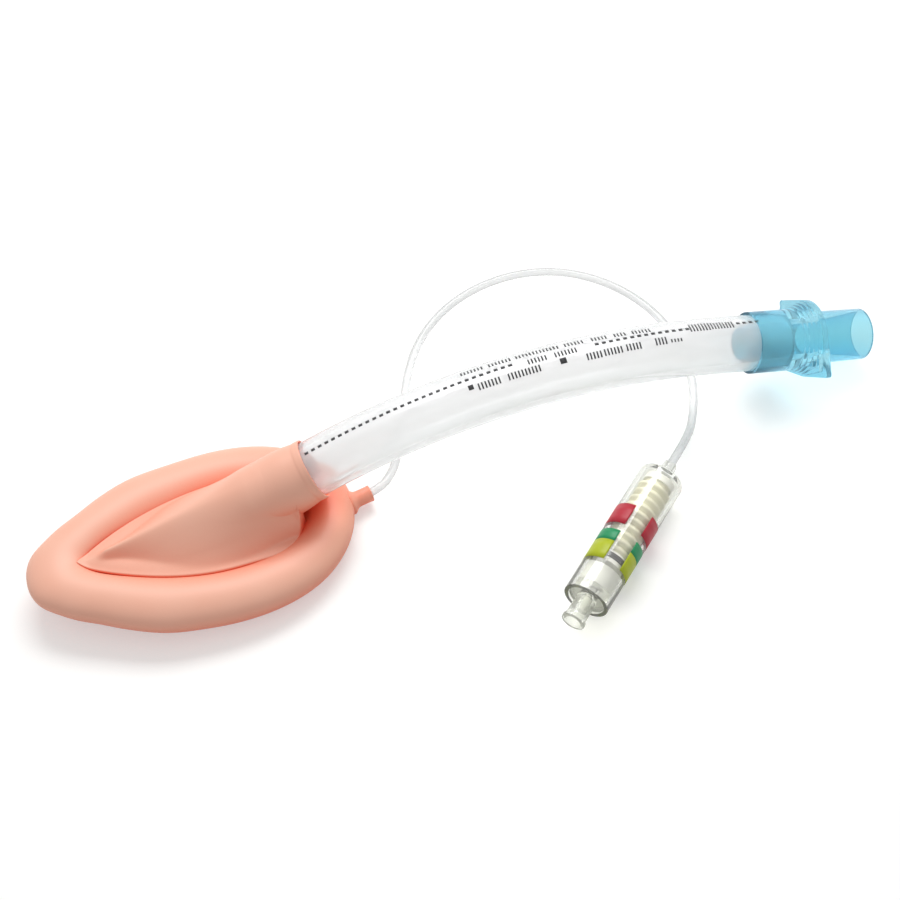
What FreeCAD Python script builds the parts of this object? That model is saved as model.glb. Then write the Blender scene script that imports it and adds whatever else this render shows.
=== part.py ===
import FreeCAD, Part
import math
import os

# Laryngeal mask airway, adult size 4, lying bowl down on a table.
# Millimetres. X runs from the mask's tip to the circuit connector, Y to the wearer's left, Z up.
# The airway tube's centreline lies in the plane Y = 0, and s is the length along it from the neck's mouth.
# The pilot indicator has its own axis, and w is the length along it from the line end to the valve end.

V = FreeCAD.Vector

# Inflatable cuff: a hollow ring between two egg-shaped outlines, with an elliptical section
CUFF_NECK_END = 6.85
CUFF_OUTER_HALF_LENGTH = 47.1
CUFF_OUTER_HALF_WIDTH = 29.25
CUFF_OUTER_TAPER = 0.21
CUFF_INNER_HALF_LENGTH = 30.3
CUFF_INNER_HALF_WIDTH = 12.8
CUFF_INNER_TAPER = 0.34
CUFF_NECK_BREADTH = 16.4
CUFF_TIP_RADIUS = 4.7
CUFF_SIDE_RADIUS = 6.8
CUFF_NECK_RADIUS = 5.6
CUFF_TIP_LIFT = 5.8
CUFF_WALL = 1.1
CUFF_SECTIONS = 25
CUFF_SECTION_POINTS = 16

# Inflation port, moulded on the cuff's neck end
PORT_RADIUS = 2.35
PORT_LENGTH = 9.1
PORT_MOUTH = V(12.65, -0.1, 4.0)
PORT_YAW = 9.0
PORT_SOCKET_DEPTH = 4.0

# Backplate: a leaf-shaped plate with a ridged dome, a bowl under it and a neck for the tube
LEAF_THICKNESS = 2.2
LEAF_HEIGHT_AT_NECK = 10.7
LEAF_HEIGHT_AT_TIP = 13.6
LEAF_OUTLINE_POINTS = 48
DOME_START = 8.5
DOME_LENGTH = 56.5
DOME_HALF_WIDTH = 15.0
DOME_WIDEST_AT = 0.34
DOME_TIP_HALF_WIDTH = 1.2
DOME_TAPER_POWER = 1.1
DOME_TIP_RISE = 1.6
DOME_RIDGE_SAG = 0.8
DOME_RIDGE_POWER = 1.5
DOME_SHOULDER_POWER = 3.0
DOME_SECTIONS = 11
DOME_ARCH_POINTS = 13
DOME_WALL = 1.8
BOWL_FIRST_SECTION = 2
BOWL_LAST_SECTION = 8
NECK_AXIS_HEIGHT = 22.88
NECK_WALL = 0.8
NECK_SHOULDER_WALL = 1.5
NECK_LENGTH = 24.0
NECK_MOUTH_SETBACK = 1.5
APERTURE_BAR_RADIUS = 0.9
APERTURE_BAR_SPACING = 4.4

# Airway tube
TUBE_RADIUS = 8.15
TUBE_WALL = 2.6
TUBE_BEND_RADIUS = 189.7
TUBE_ARC_LENGTH = 117.3
TUBE_START_PITCH = 17.8
TUBE_IN_NECK = 19.0
TUBE_STRAIGHT_LENGTH = 25.4
BOND_CLEARANCE = 0.02

# Circuit connector: barrel, stepped collar, eared flange and the 15 mm male cone
CONNECTOR_REACH = 27.0
SLEEVE_LENGTH = 14.7
BARREL_RADIUS = 9.0
CONE_MOUTH_RADIUS = 7.55
CONE_TAPER = 1.0 / 40.0
CONE_LENGTH = 16.6
CONE_WALL = 1.15
FLANGE_THICKNESS = 1.7
FLANGE_RADIUS = 11.3
FLANGE_EAR_REACH = 16.2
FLANGE_EAR_RADIUS = 0.9
COLLAR_STEPS = 4
COLLAR_STEP_LENGTH = 1.35
SPIGOT_LENGTH = 22.5
SPIGOT_WALL = 0.9

# Inflation line, lying on the table
LINE_RADIUS = 1.25
LINE_BORE_RADIUS = 0.6
LINE_ARC_SHARE = 0.45

# Pilot indicator
PILOT_RADIUS = 6.6
PILOT_WALL = 1.2
PILOT_LENGTH = 46.4
PILOT_END_WALL = 1.6
PILOT_SHOULDER_FILLET = 1.4
PILOT_HEADING = 42.1
NIPPLE_LENGTH = 5.2
NIPPLE_BASE_RADIUS = 2.5
NIPPLE_MOUTH_RADIUS = 1.95
NIPPLE_SOCKET_DEPTH = 4.2
BOSS_RADIUS = 3.3
BOSS_LENGTH = 3.6
VENT_RADIUS = 0.25
GALLERY_RADIUS = 0.45

# Bellows and the head that it carries
BELLOWS_WALL = 0.4
BELLOWS_CREST_RADIUS = 4.95
BELLOWS_ROOT_RADIUS = 3.75
BELLOWS_FOLDS = 10
BELLOWS_END = 31.4
CLAMP_WALL = 0.7
CLAMP_LENGTH = 2.1
HEAD_RADIUS = 4.8
HEAD_LENGTH = 3.6
RING_START = 0.7
RING_WIDTH = 1.6
RING_DEPTH = 0.45
RING_PROUD = 0.25

# Check valve
CAGE_LENGTH = 6.0
CAGE_WALL = 0.9
CAGE_WINDOWS = 4
CAGE_WINDOW_MARGIN = 0.3
CAP_INSERT = 3.0
CAP_RECESS = 0.6
CAP_CLEARANCE = 0.03
PASSAGE_RADIUS = 1.35
LUER_LENGTH = 8.0
LUER_MOUTH_RADIUS = 2.15
LUER_TAPER = 0.03
LUER_WALL = 0.8
LUER_LIP_RADIUS = 3.4
LUER_LIP_LENGTH = 1.2
STEM_RADIUS = 0.9
STEM_REACH = 4.0
PLUNGER_HEAD_RADIUS = 2.4
PLUNGER_HEAD_LENGTH = 1.0
PLUNGER_TAIL_RADIUS = 0.8
SEAL_THICKNESS = 0.7
SPRING_WIRE_RADIUS = 0.2
SPRING_RADIUS = 1.4
SPRING_TURNS = 5
SPRING_STATIONS = 12
SPRING_SECTION_POINTS = 8
GUIDE_CLEARANCE = 0.05

# The line's route over the table, from the socket in the cuff's port to the one in the pilot's nipple
LINE_ROUTE = [
    (8.70, -0.73, 4.0), (16.01, 0.43, 4.0), (21.0, 6.0, 3.1), (24.4, 12.9, 1.8), (28.1, 22.6, 1.25),
    (32.0, 33.0, 1.25), (36.2, 43.0, 1.25), (42.4, 53.2, 1.25), (52.1, 62.4, 1.25), (64.8, 68.3, 1.25),
    (78.9, 69.6, 1.25), (92.3, 65.8, 1.25), (103.5, 57.1, 1.25), (111.6, 45.3, 1.25), (116.1, 31.9, 1.25),
    (117.1, 17.8, 1.25), (114.5, 3.7, 1.25), (108.6, -9.0, 1.5), (104.3, -14.9, 3.4), (98.76, -21.63, 6.6),
    (92.45, -27.32, 6.6),
]


def tube_pitch(s):
    # Pitch of the centreline in radians: straight in the neck, a long arc, then straight again
    arc = min(max(s, 0.0), TUBE_ARC_LENGTH)
    return math.radians(TUBE_START_PITCH) - arc / TUBE_BEND_RADIUS


def tube_point(s):
    start = math.radians(TUBE_START_PITCH)
    arc = min(max(s, 0.0), TUBE_ARC_LENGTH)
    end = start - arc / TUBE_BEND_RADIUS
    x = TUBE_BEND_RADIUS * (math.sin(start) - math.sin(end))
    z = NECK_AXIS_HEIGHT + TUBE_BEND_RADIUS * (math.cos(end) - math.cos(start))
    rest = s - arc
    return V(x + rest * math.cos(end), 0.0, z + rest * math.sin(end))


def tube_direction(s):
    pitch = tube_pitch(s)
    return V(math.cos(pitch), 0.0, math.sin(pitch))


def tube_path(s_start, s_end):
    # Straight, arc and straight edges of the centreline between two stations
    edges = []
    if s_start < 0.0:
        edges.append(Part.makeLine(tube_point(s_start), tube_point(0.0)))
    middle = 0.5 * TUBE_ARC_LENGTH
    edges.append(Part.Arc(tube_point(0.0), tube_point(middle), tube_point(TUBE_ARC_LENGTH)).toShape())
    edges.append(Part.makeLine(tube_point(TUBE_ARC_LENGTH), tube_point(s_end)))
    return Part.Wire(edges)


def round_sweep(path, radius, start, direction):
    circle = Part.Wire(Part.makeCircle(radius, start, direction))
    return path.makePipeShell([circle], True, False)


def cylinder(radius, length, start, direction):
    return Part.makeCylinder(radius, length, start, direction)


def cone(radius_start, radius_end, length, start, direction):
    return Part.makeCone(radius_start, radius_end, length, start, direction)


def closed_wire(points):
    return Part.makePolygon(points + [points[0]])


def turned(profile):
    # A solid of revolution from (radius, along) points, about the local Z axis
    points = [V(radius, 0.0, along) for radius, along in profile]
    return Part.Face(closed_wire(points)).revolve(V(0, 0, 0), V(0, 0, 1), 360.0)


def capped_skin(rows):
    # The solid inside one smooth surface through rows of points, with a flat cap at each end
    surface = Part.BSplineSurface()
    surface.interpolate(rows)
    skin = surface.toShape()
    caps = [Part.Face(Part.Wire(edge)) for edge in skin.Edges if edge.isClosed()]
    shell = Part.Shell([skin] + caps)
    shell.sewShape()
    return Part.Solid(shell)


def cuff_radius(share):
    # Section radius: share is 0 at the neck end and 1 at the tip
    neck = CUFF_NECK_RADIUS * (1.0 - share) ** 2
    side = 2.0 * CUFF_SIDE_RADIUS * share * (1.0 - share)
    return neck + side + CUFF_TIP_RADIUS * share ** 2


def egg_point(angle, neck_end_x, half_length, half_width, taper):
    # Egg-shaped outline in plan: angle 0 is the tip and 180 degrees the neck end
    x = neck_end_x - half_length * (1.0 + math.cos(angle))
    y = half_width * math.sin(angle) * (1.0 - taper * math.cos(angle))
    return V(x, y, 0.0)


def cuff_outer_point(angle):
    return egg_point(angle, CUFF_NECK_END, CUFF_OUTER_HALF_LENGTH, CUFF_OUTER_HALF_WIDTH, CUFF_OUTER_TAPER)


def cuff_inner_point(angle):
    neck_end = CUFF_NECK_END - CUFF_NECK_BREADTH
    return egg_point(angle, neck_end, CUFF_INNER_HALF_LENGTH, CUFF_INNER_HALF_WIDTH, CUFF_INNER_TAPER)


def cuff_section(angle, inset):
    # Points round the ellipse that spans from the inner outline to the outer one. They start on its inner
    # side, because the surface's seam bulges a little and would lift the cuff off the table below
    share = 0.5 * (1.0 + math.cos(angle))
    radius = cuff_radius(share)
    height = V(0, 0, radius + CUFF_TIP_LIFT * share ** 2)
    outer = cuff_outer_point(angle)
    inner = cuff_inner_point(angle)
    centre = (outer + inner) * 0.5 + height
    half_span = (outer - inner) * 0.5
    half_span = half_span * (1.0 - inset / half_span.Length)
    points = []
    for index in range(CUFF_SECTION_POINTS + 1):
        turn = 2.0 * math.pi * index / CUFF_SECTION_POINTS
        points.append(centre - half_span * math.cos(turn) - V(0, 0, (radius - inset) * math.sin(turn)))
    return points


def cuff_ring(inset):
    # Half of the ring as one smooth surface, capped, then mirrored to the other side
    rows = []
    for index in range(CUFF_SECTIONS):
        rows.append(cuff_section(math.pi * index / (CUFF_SECTIONS - 1), inset))
    for point in rows[0] + rows[-1]:
        point.y = 0.0
    half = capped_skin(rows)
    return half.fuse(half.mirror(V(0, 0, 0), V(0, 1, 0))).removeSplitter()


def make_cuff():
    yaw = math.radians(PORT_YAW)
    direction = V(math.cos(yaw), math.sin(yaw), 0.0)
    root = PORT_MOUTH - direction * PORT_LENGTH
    body = cuff_ring(0.0).fuse(cylinder(PORT_RADIUS, PORT_LENGTH, root, direction))
    socket_start = PORT_MOUTH - direction * PORT_SOCKET_DEPTH
    socket = cylinder(LINE_RADIUS + BOND_CLEARANCE, PORT_SOCKET_DEPTH, socket_start, direction)
    duct = cylinder(LINE_BORE_RADIUS, PORT_LENGTH, root, direction)
    return body.cut(cuff_ring(CUFF_WALL)).cut(socket).cut(duct)


def leaf_height(x):
    # Height of the leaf's upper face over the table
    share = (CUFF_NECK_END - x) / (2.0 * CUFF_OUTER_HALF_LENGTH)
    return LEAF_HEIGHT_AT_NECK + (LEAF_HEIGHT_AT_TIP - LEAF_HEIGHT_AT_NECK) * share


def neck_outer_radius():
    return TUBE_RADIUS + NECK_SHOULDER_WALL


def dome_half_width(share):
    # Half-width of the dome's foot: from the neck's width, out to the widest, then in to the tip
    if share < DOME_WIDEST_AT:
        part = share / DOME_WIDEST_AT
        swing = math.sin(0.5 * math.pi * part)
        return neck_outer_radius() + (DOME_HALF_WIDTH - neck_outer_radius()) * swing
    part = (share - DOME_WIDEST_AT) / (1.0 - DOME_WIDEST_AT)
    swing = 0.5 * (1.0 + math.cos(math.pi * part ** DOME_TAPER_POWER))
    return DOME_TIP_HALF_WIDTH + (DOME_HALF_WIDTH - DOME_TIP_HALF_WIDTH) * swing


def dome_crest(share):
    # The ridge runs, with a slight sag, from the top of the neck down to the leaf's tip
    start = tube_point(-DOME_START)
    lift = neck_outer_radius() / math.cos(math.radians(TUBE_START_PITCH))
    high = start.z + lift
    low = leaf_height(-DOME_START - DOME_LENGTH) + DOME_TIP_RISE
    return high + (low - high) * share - 4.0 * DOME_RIDGE_SAG * share * (1.0 - share)


def dome_section(share, inset, drop):
    # Ridged arch over the leaf at one station, closed by a straight foot below the leaf's face
    x = -DOME_START - DOME_LENGTH * share
    foot = leaf_height(x) - drop
    half_width = dome_half_width(share) - inset
    crest = dome_crest(share) - inset
    roundness = (1.0 - min(share / DOME_WIDEST_AT, 1.0)) ** 2
    power = DOME_RIDGE_POWER + (DOME_SHOULDER_POWER - DOME_RIDGE_POWER) * roundness
    points = []
    for index in range(DOME_ARCH_POINTS):
        across = 2.0 * index / (DOME_ARCH_POINTS - 1) - 1.0
        height = (crest - foot) * (1.0 - abs(across) ** power)
        points.append(V(x, half_width * across, foot + height))
    arch = Part.BSplineCurve()
    arch.interpolate(points)
    return Part.Wire([arch.toShape(), Part.makeLine(points[-1], points[0])])


def make_backplate():
    # The leaf plate reaches to the middle of the ring, whose surface then trims it
    outline = []
    for index in range(LEAF_OUTLINE_POINTS):
        angle = 2.0 * math.pi * index / LEAF_OUTLINE_POINTS
        middle = (cuff_outer_point(angle) + cuff_inner_point(angle)) * 0.5
        outline.append(V(middle.x, middle.y, leaf_height(middle.x) - LEAF_THICKNESS))
    edge = Part.BSplineCurve()
    edge.interpolate(outline, PeriodicFlag=True)
    leaf = Part.Face(Part.Wire(edge.toShape())).extrude(V(0, 0, LEAF_THICKNESS))
    outer = []
    for index in range(DOME_SECTIONS):
        outer.append(dome_section(index / (DOME_SECTIONS - 1), 0.0, 0.5 * LEAF_THICKNESS))
    body = leaf.fuse(Part.makeLoft(outer, True, False))
    body = body.fuse(make_neck_shell())
    bowl = []
    for index in range(BOWL_FIRST_SECTION, BOWL_LAST_SECTION + 1):
        bowl.append(dome_section(index / (DOME_SECTIONS - 1), DOME_WALL, 2.0 * LEAF_THICKNESS))
    body = body.cut(Part.makeLoft(bowl, True, False))
    direction = tube_direction(0.0)
    bore_start = tube_point(-TUBE_IN_NECK)
    bore = cylinder(TUBE_RADIUS + BOND_CLEARANCE, TUBE_IN_NECK + NECK_LENGTH, bore_start, direction)
    passage = cylinder(TUBE_RADIUS - TUBE_WALL, NECK_LENGTH, bore_start - direction * NECK_LENGTH, direction)
    return body.cut(bore).cut(passage)


def make_neck_shell():
    # The neck widens from its mouth to its shoulder, and its inner end is buried in the dome
    direction = tube_direction(0.0)
    shoulder = tube_point(-DOME_START)
    mouth_radius = TUBE_RADIUS + NECK_WALL
    flare_length = DOME_START - NECK_MOUTH_SETBACK
    flare = cone(neck_outer_radius(), mouth_radius, flare_length, shoulder, direction)
    inner_end = tube_point(-NECK_LENGTH)
    barrel = cylinder(neck_outer_radius(), NECK_LENGTH - DOME_START, inner_end, direction)
    return flare.fuse(barrel)


def make_aperture_bars():
    # Two bars across the opening where the tube meets the bowl
    direction = tube_direction(0.0)
    upward = V(-direction.z, 0.0, direction.x)
    reach = TUBE_RADIUS + BOND_CLEARANCE + 0.5 * NECK_SHOULDER_WALL
    centre = tube_point(-TUBE_IN_NECK) - direction * (APERTURE_BAR_RADIUS + BOND_CLEARANCE)
    bars = []
    for side in (-1, 1):
        foot = centre + V(0.0, side * 0.5 * APERTURE_BAR_SPACING, 0.0) - upward * reach
        bars.append(cylinder(APERTURE_BAR_RADIUS, 2.0 * reach, foot, upward))
    return bars


def tube_end():
    # Station of the tube's end inside the connector
    return TUBE_ARC_LENGTH + TUBE_STRAIGHT_LENGTH


def make_airway_tube():
    path = tube_path(-TUBE_IN_NECK, tube_end())
    start = tube_point(-TUBE_IN_NECK)
    direction = tube_direction(-TUBE_IN_NECK)
    outside = round_sweep(path, TUBE_RADIUS, start, direction)
    lumen = round_sweep(path, TUBE_RADIUS - TUBE_WALL, start, direction)
    return outside.cut(lumen)


def connector_placement():
    # Local Z runs from the tube's end out to the cone's mouth, and local Y is the frame's Y
    pitch = -math.degrees(tube_pitch(tube_end()))
    return FreeCAD.Placement(tube_point(tube_end()), FreeCAD.Rotation(V(0, 1, 0), 90.0 + pitch))


def eared_outline(radius, reach):
    # A circle with one ear at each side, joined by tangents
    if reach <= radius + FLANGE_EAR_RADIUS:
        return Part.Wire(Part.makeCircle(radius))
    ear = reach - FLANGE_EAR_RADIUS
    lean = math.acos((radius - FLANGE_EAR_RADIUS) / ear)
    edges = []
    for side in (1, -1):
        tip = V(0.0, side * ear, 0.0)
        corners = []
        for turn in (lean, -lean):
            normal = V(math.sin(turn) * side, math.cos(turn) * side, 0.0)
            corners.append((normal * radius, tip + normal * FLANGE_EAR_RADIUS))
        edges.append(Part.makeLine(corners[0][0], corners[0][1]))
        edges.append(Part.Arc(corners[0][1], V(0.0, side * reach, 0.0), corners[1][1]).toShape())
        edges.append(Part.makeLine(corners[1][1], corners[1][0]))
        far = V(-math.sin(lean) * side, -math.cos(lean) * side, 0.0)
        edges.append(Part.Arc(corners[1][0], V(-radius * side, 0.0, 0.0), far * radius).toShape())
    return Part.Wire(Part.__sortEdges__(edges))


def plate(outline, start, thickness):
    face = Part.Face(outline)
    face.translate(V(0, 0, start))
    return face.extrude(V(0, 0, thickness))


def make_circuit_connector():
    # One moulding, built along its own axis from the tube's end at zero
    flange_start = CONNECTOR_REACH - CONE_LENGTH - FLANGE_THICKNESS
    cone_start = V(0, 0, CONNECTOR_REACH - CONE_LENGTH)
    sleeve_start = V(0, 0, -SLEEVE_LENGTH)
    spigot_start = V(0, 0, -SPIGOT_LENGTH)
    cone_base_radius = CONE_MOUTH_RADIUS + 0.5 * CONE_TAPER * CONE_LENGTH
    cone_bore_radius = CONE_MOUTH_RADIUS - CONE_WALL
    bore_radius = TUBE_RADIUS - TUBE_WALL - BOND_CLEARANCE - SPIGOT_WALL
    up = V(0, 0, 1)
    body = cylinder(BARREL_RADIUS, SLEEVE_LENGTH + flange_start, sleeve_start, up)
    for step in range(COLLAR_STEPS):
        share = (step + 1.0) / (COLLAR_STEPS + 1.0)
        radius = BARREL_RADIUS + (FLANGE_RADIUS - BARREL_RADIUS) * share
        reach = BARREL_RADIUS + (FLANGE_EAR_REACH - BARREL_RADIUS) * share ** 2
        start = flange_start - COLLAR_STEP_LENGTH * (COLLAR_STEPS - step)
        body = body.fuse(plate(eared_outline(radius, reach), start, flange_start - start))
    body = body.fuse(plate(eared_outline(FLANGE_RADIUS, FLANGE_EAR_REACH), flange_start, FLANGE_THICKNESS))
    body = body.fuse(cone(cone_base_radius, CONE_MOUTH_RADIUS, CONE_LENGTH, cone_start, up))
    body = body.cut(cylinder(TUBE_RADIUS + BOND_CLEARANCE, SLEEVE_LENGTH, sleeve_start, up))
    body = body.fuse(cylinder(bore_radius + SPIGOT_WALL, SPIGOT_LENGTH, spigot_start, up))
    body = body.cut(cylinder(bore_radius, SPIGOT_LENGTH + CONNECTOR_REACH, spigot_start, up))
    body = body.cut(cone(bore_radius, cone_bore_radius, CONE_LENGTH, cone_start, up))
    body.Placement = connector_placement()
    return body


def make_inflation_line():
    points = [V(*point) for point in LINE_ROUTE]
    edges, radii = rounded_route(points)
    path = Part.Wire(edges)
    direction = points[1] - points[0]
    outside = round_sweep(path, LINE_RADIUS, points[0], direction)
    bore = round_sweep(path, LINE_BORE_RADIUS, points[0], direction)
    line = outside.cut(bore)
    section = math.pi * (LINE_RADIUS ** 2 - LINE_BORE_RADIUS ** 2)
    print("line radii", [round(radius, 1) for radius in radii])
    print("line length", round(path.Length, 1))
    print("line volume share", round(line.Volume / (section * path.Length), 4))
    return line


def rounded_route(points):
    # Straight runs joined by tangent arcs, each as large as its two runs allow
    edges = []
    radii = []
    last = points[0]
    for before, corner, after in zip(points, points[1:], points[2:]):
        arriving = corner - before
        leaving = after - corner
        shorter = min(arriving.Length, leaving.Length)
        turn = arriving.getAngle(leaving)
        cut = LINE_ARC_SHARE * shorter
        radius = cut / math.tan(0.5 * turn)
        arriving.normalize()
        leaving.normalize()
        start = corner - arriving * cut
        end = corner + leaving * cut
        inward = leaving - arriving
        inward.normalize()
        middle = corner + inward * (radius / math.cos(0.5 * turn) - radius)
        edges.append(Part.makeLine(last, start))
        edges.append(Part.Arc(start, middle, end).toShape())
        radii.append(radius)
        last = end
    edges.append(Part.makeLine(last, points[-1]))
    return edges, radii


def pilot_placement():
    # Local Z runs from the pilot's line end to its valve end, and local X points up
    heading = math.radians(PILOT_HEADING)
    along = V(-math.cos(heading), -math.sin(heading), 0.0)
    upward = V(0, 0, 1)
    turn = FreeCAD.Rotation(upward, along.cross(upward), along, "ZXY")
    socket_end = V(*LINE_ROUTE[-1])
    return FreeCAD.Placement(socket_end + along * (NIPPLE_LENGTH - NIPPLE_SOCKET_DEPTH), turn)


def pilot_bore():
    return PILOT_RADIUS - PILOT_WALL


def make_pilot_barrel():
    # Tube closed at the line end, with the line's nipple outside and the bellows' boss inside
    bore = pilot_bore()
    boss_end = PILOT_END_WALL + BOSS_LENGTH
    round_off = PILOT_SHOULDER_FILLET
    profile = [
        (0.0, -NIPPLE_LENGTH), (NIPPLE_MOUTH_RADIUS, -NIPPLE_LENGTH), (NIPPLE_BASE_RADIUS, 0.0),
        (PILOT_RADIUS - round_off, 0.0), (PILOT_RADIUS, round_off), (PILOT_RADIUS, PILOT_LENGTH),
        (bore, PILOT_LENGTH), (bore, PILOT_END_WALL), (BOSS_RADIUS, PILOT_END_WALL),
        (BOSS_RADIUS, boss_end), (0.0, boss_end),
    ]
    up = V(0, 0, 1)
    body = turned(profile)
    socket_start = V(0, 0, -NIPPLE_LENGTH)
    body = body.cut(cylinder(LINE_RADIUS + BOND_CLEARANCE, NIPPLE_SOCKET_DEPTH, socket_start, up))
    # The line's air goes through a cross hole in the end wall to the space round the bellows
    middle_of_wall = 0.5 * PILOT_END_WALL
    duct_start = V(0, 0, NIPPLE_SOCKET_DEPTH - NIPPLE_LENGTH)
    duct_length = NIPPLE_LENGTH - NIPPLE_SOCKET_DEPTH + middle_of_wall + GALLERY_RADIUS
    body = body.cut(cylinder(LINE_BORE_RADIUS, duct_length, duct_start, up))
    reach = 0.5 * (BOSS_RADIUS + bore)
    body = body.cut(cylinder(GALLERY_RADIUS, reach, V(0, 0, middle_of_wall), V(1, 0, 0)))
    outlet_start = V(reach, 0, middle_of_wall - GALLERY_RADIUS)
    outlet = cylinder(LINE_BORE_RADIUS, PILOT_END_WALL, outlet_start, up)
    body = body.cut(outlet)
    # The room's air reaches the inside of the bellows through a vent beside the nipple
    vent_place = 0.5 * (NIPPLE_BASE_RADIUS + BOSS_RADIUS)
    vent = cylinder(VENT_RADIUS, boss_end, V(0, vent_place, 0), up)
    return body.cut(vent)


def bellows_profile():
    # Zigzag folds between the cuff on the boss and the cuff on the head, outside then inside
    start = PILOT_END_WALL + BOSS_LENGTH
    pitch = (BELLOWS_END - start) / BELLOWS_FOLDS
    outside = [(BOSS_RADIUS + BELLOWS_WALL, PILOT_END_WALL + BELLOWS_WALL)]
    inside = [(BOSS_RADIUS, PILOT_END_WALL + BELLOWS_WALL)]
    outside.append((BOSS_RADIUS + BELLOWS_WALL, start))
    inside.append((BOSS_RADIUS, start))
    for fold in range(BELLOWS_FOLDS):
        crest = start + pitch * (fold + 0.5)
        root = start + pitch * (fold + 1.0)
        outside.append((BELLOWS_CREST_RADIUS, crest))
        inside.append((BELLOWS_CREST_RADIUS - BELLOWS_WALL, crest))
        outside.append((BELLOWS_ROOT_RADIUS, root))
        inside.append((BELLOWS_ROOT_RADIUS - BELLOWS_WALL, root))
    return outside + inside[::-1]


def make_bellows():
    return turned(bellows_profile())


def make_bellows_clamp():
    # Ring that holds the bellows' cuff on the boss
    inner = BOSS_RADIUS + BELLOWS_WALL + BOND_CLEARANCE
    start = PILOT_END_WALL + BELLOWS_WALL
    end = start + CLAMP_LENGTH
    return turned([(inner, start), (inner + CLAMP_WALL, start), (inner + CLAMP_WALL, end), (inner, end)])


def make_indicator_head():
    # Cup that closes the bellows, with a groove for the black ring
    start = BELLOWS_END
    groove = HEAD_RADIUS - RING_DEPTH
    ring_start = start + RING_START
    ring_end = ring_start + RING_WIDTH
    end = start + HEAD_LENGTH
    profile = [
        (0.0, start), (HEAD_RADIUS, start), (HEAD_RADIUS, ring_start), (groove, ring_start),
        (groove, ring_end), (HEAD_RADIUS, ring_end), (HEAD_RADIUS, end), (0.0, end),
    ]
    return turned(profile)


def make_indicator_ring():
    inner = HEAD_RADIUS - RING_DEPTH
    outer = HEAD_RADIUS + RING_PROUD
    start = BELLOWS_END + RING_START
    end = start + RING_WIDTH
    return turned([(inner, start), (outer, start), (outer, end), (inner, end)])


def cap_start():
    # Inner face of the end cap, which is the valve's seat
    return PILOT_LENGTH - CAP_RECESS - CAP_INSERT


def luer_bottom():
    return PILOT_LENGTH - CAP_RECESS


def make_end_cap():
    # Plug in the barrel's open end with the female syringe port outside
    plug = pilot_bore() - CAP_CLEARANCE
    end = luer_bottom() + LUER_LENGTH
    outer = LUER_MOUTH_RADIUS + LUER_WALL
    lip_start = end - LUER_LIP_LENGTH
    profile = [
        (PASSAGE_RADIUS, cap_start()), (plug, cap_start()), (plug, luer_bottom()), (outer, luer_bottom()),
        (outer, lip_start), (LUER_LIP_RADIUS, lip_start), (LUER_LIP_RADIUS, end), (LUER_MOUTH_RADIUS, end),
        (LUER_MOUTH_RADIUS - LUER_TAPER * LUER_LENGTH, luer_bottom()), (PASSAGE_RADIUS, luer_bottom()),
    ]
    return turned(profile)


def make_valve_seal():
    end = cap_start()
    start = end - SEAL_THICKNESS
    outer = PLUNGER_HEAD_RADIUS
    inner = STEM_RADIUS
    return turned([(inner, start), (outer, start), (outer, end), (inner, end)])


def plunger_head_start():
    return cap_start() - SEAL_THICKNESS - PLUNGER_HEAD_LENGTH


def cage_start():
    return cap_start() - CAGE_LENGTH


def make_valve_plunger():
    # Stem for the syringe's tip, head that carries the seal, and a tail in the cage's guide
    head = plunger_head_start()
    tail_end = cage_start()
    profile = [
        (0.0, tail_end), (PLUNGER_TAIL_RADIUS, tail_end), (PLUNGER_TAIL_RADIUS, head),
        (PLUNGER_HEAD_RADIUS, head), (PLUNGER_HEAD_RADIUS, head + PLUNGER_HEAD_LENGTH),
        (STEM_RADIUS, head + PLUNGER_HEAD_LENGTH), (STEM_RADIUS, luer_bottom() + STEM_REACH),
        (0.0, luer_bottom() + STEM_REACH),
    ]
    return turned(profile)


def make_valve_cage():
    # Cup that backs the spring and guides the plunger's tail; its windows pass the air
    outer = pilot_bore() - CAP_CLEARANCE
    inner = outer - CAGE_WALL
    floor = cage_start() + CAGE_WALL
    guide = PLUNGER_TAIL_RADIUS + GUIDE_CLEARANCE
    body = turned([
        (guide, cage_start()), (outer, cage_start()), (outer, cap_start()), (inner, cap_start()),
        (inner, floor), (guide, floor),
    ])
    window = 0.5 * (inner + SPRING_RADIUS + SPRING_WIRE_RADIUS)
    size = 0.5 * (inner - SPRING_RADIUS - SPRING_WIRE_RADIUS) - CAGE_WINDOW_MARGIN
    for turn in range(CAGE_WINDOWS):
        angle = 2.0 * math.pi * turn / CAGE_WINDOWS
        place = V(window * math.cos(angle), window * math.sin(angle), cage_start())
        body = body.cut(cylinder(size, CAGE_WALL, place, V(0, 0, 1)))
    return body


def make_valve_spring():
    # Coil of round wire between the cage's floor and the plunger's head
    start = cage_start() + CAGE_WALL + SPRING_WIRE_RADIUS
    end = plunger_head_start() - SPRING_WIRE_RADIUS
    stations = SPRING_TURNS * SPRING_STATIONS
    rows = []
    for index in range(stations + 1):
        turn = 2.0 * math.pi * index / SPRING_STATIONS
        outward = V(math.cos(turn), math.sin(turn), 0.0)
        centre = outward * SPRING_RADIUS + V(0, 0, start + (end - start) * index / stations)
        row = []
        for corner in range(SPRING_SECTION_POINTS + 1):
            angle = 2.0 * math.pi * corner / SPRING_SECTION_POINTS
            row.append(centre + outward * (SPRING_WIRE_RADIUS * math.cos(angle)))
            row[-1].z += SPRING_WIRE_RADIUS * math.sin(angle)
        rows.append(row)
    return capped_skin(rows)


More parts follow.
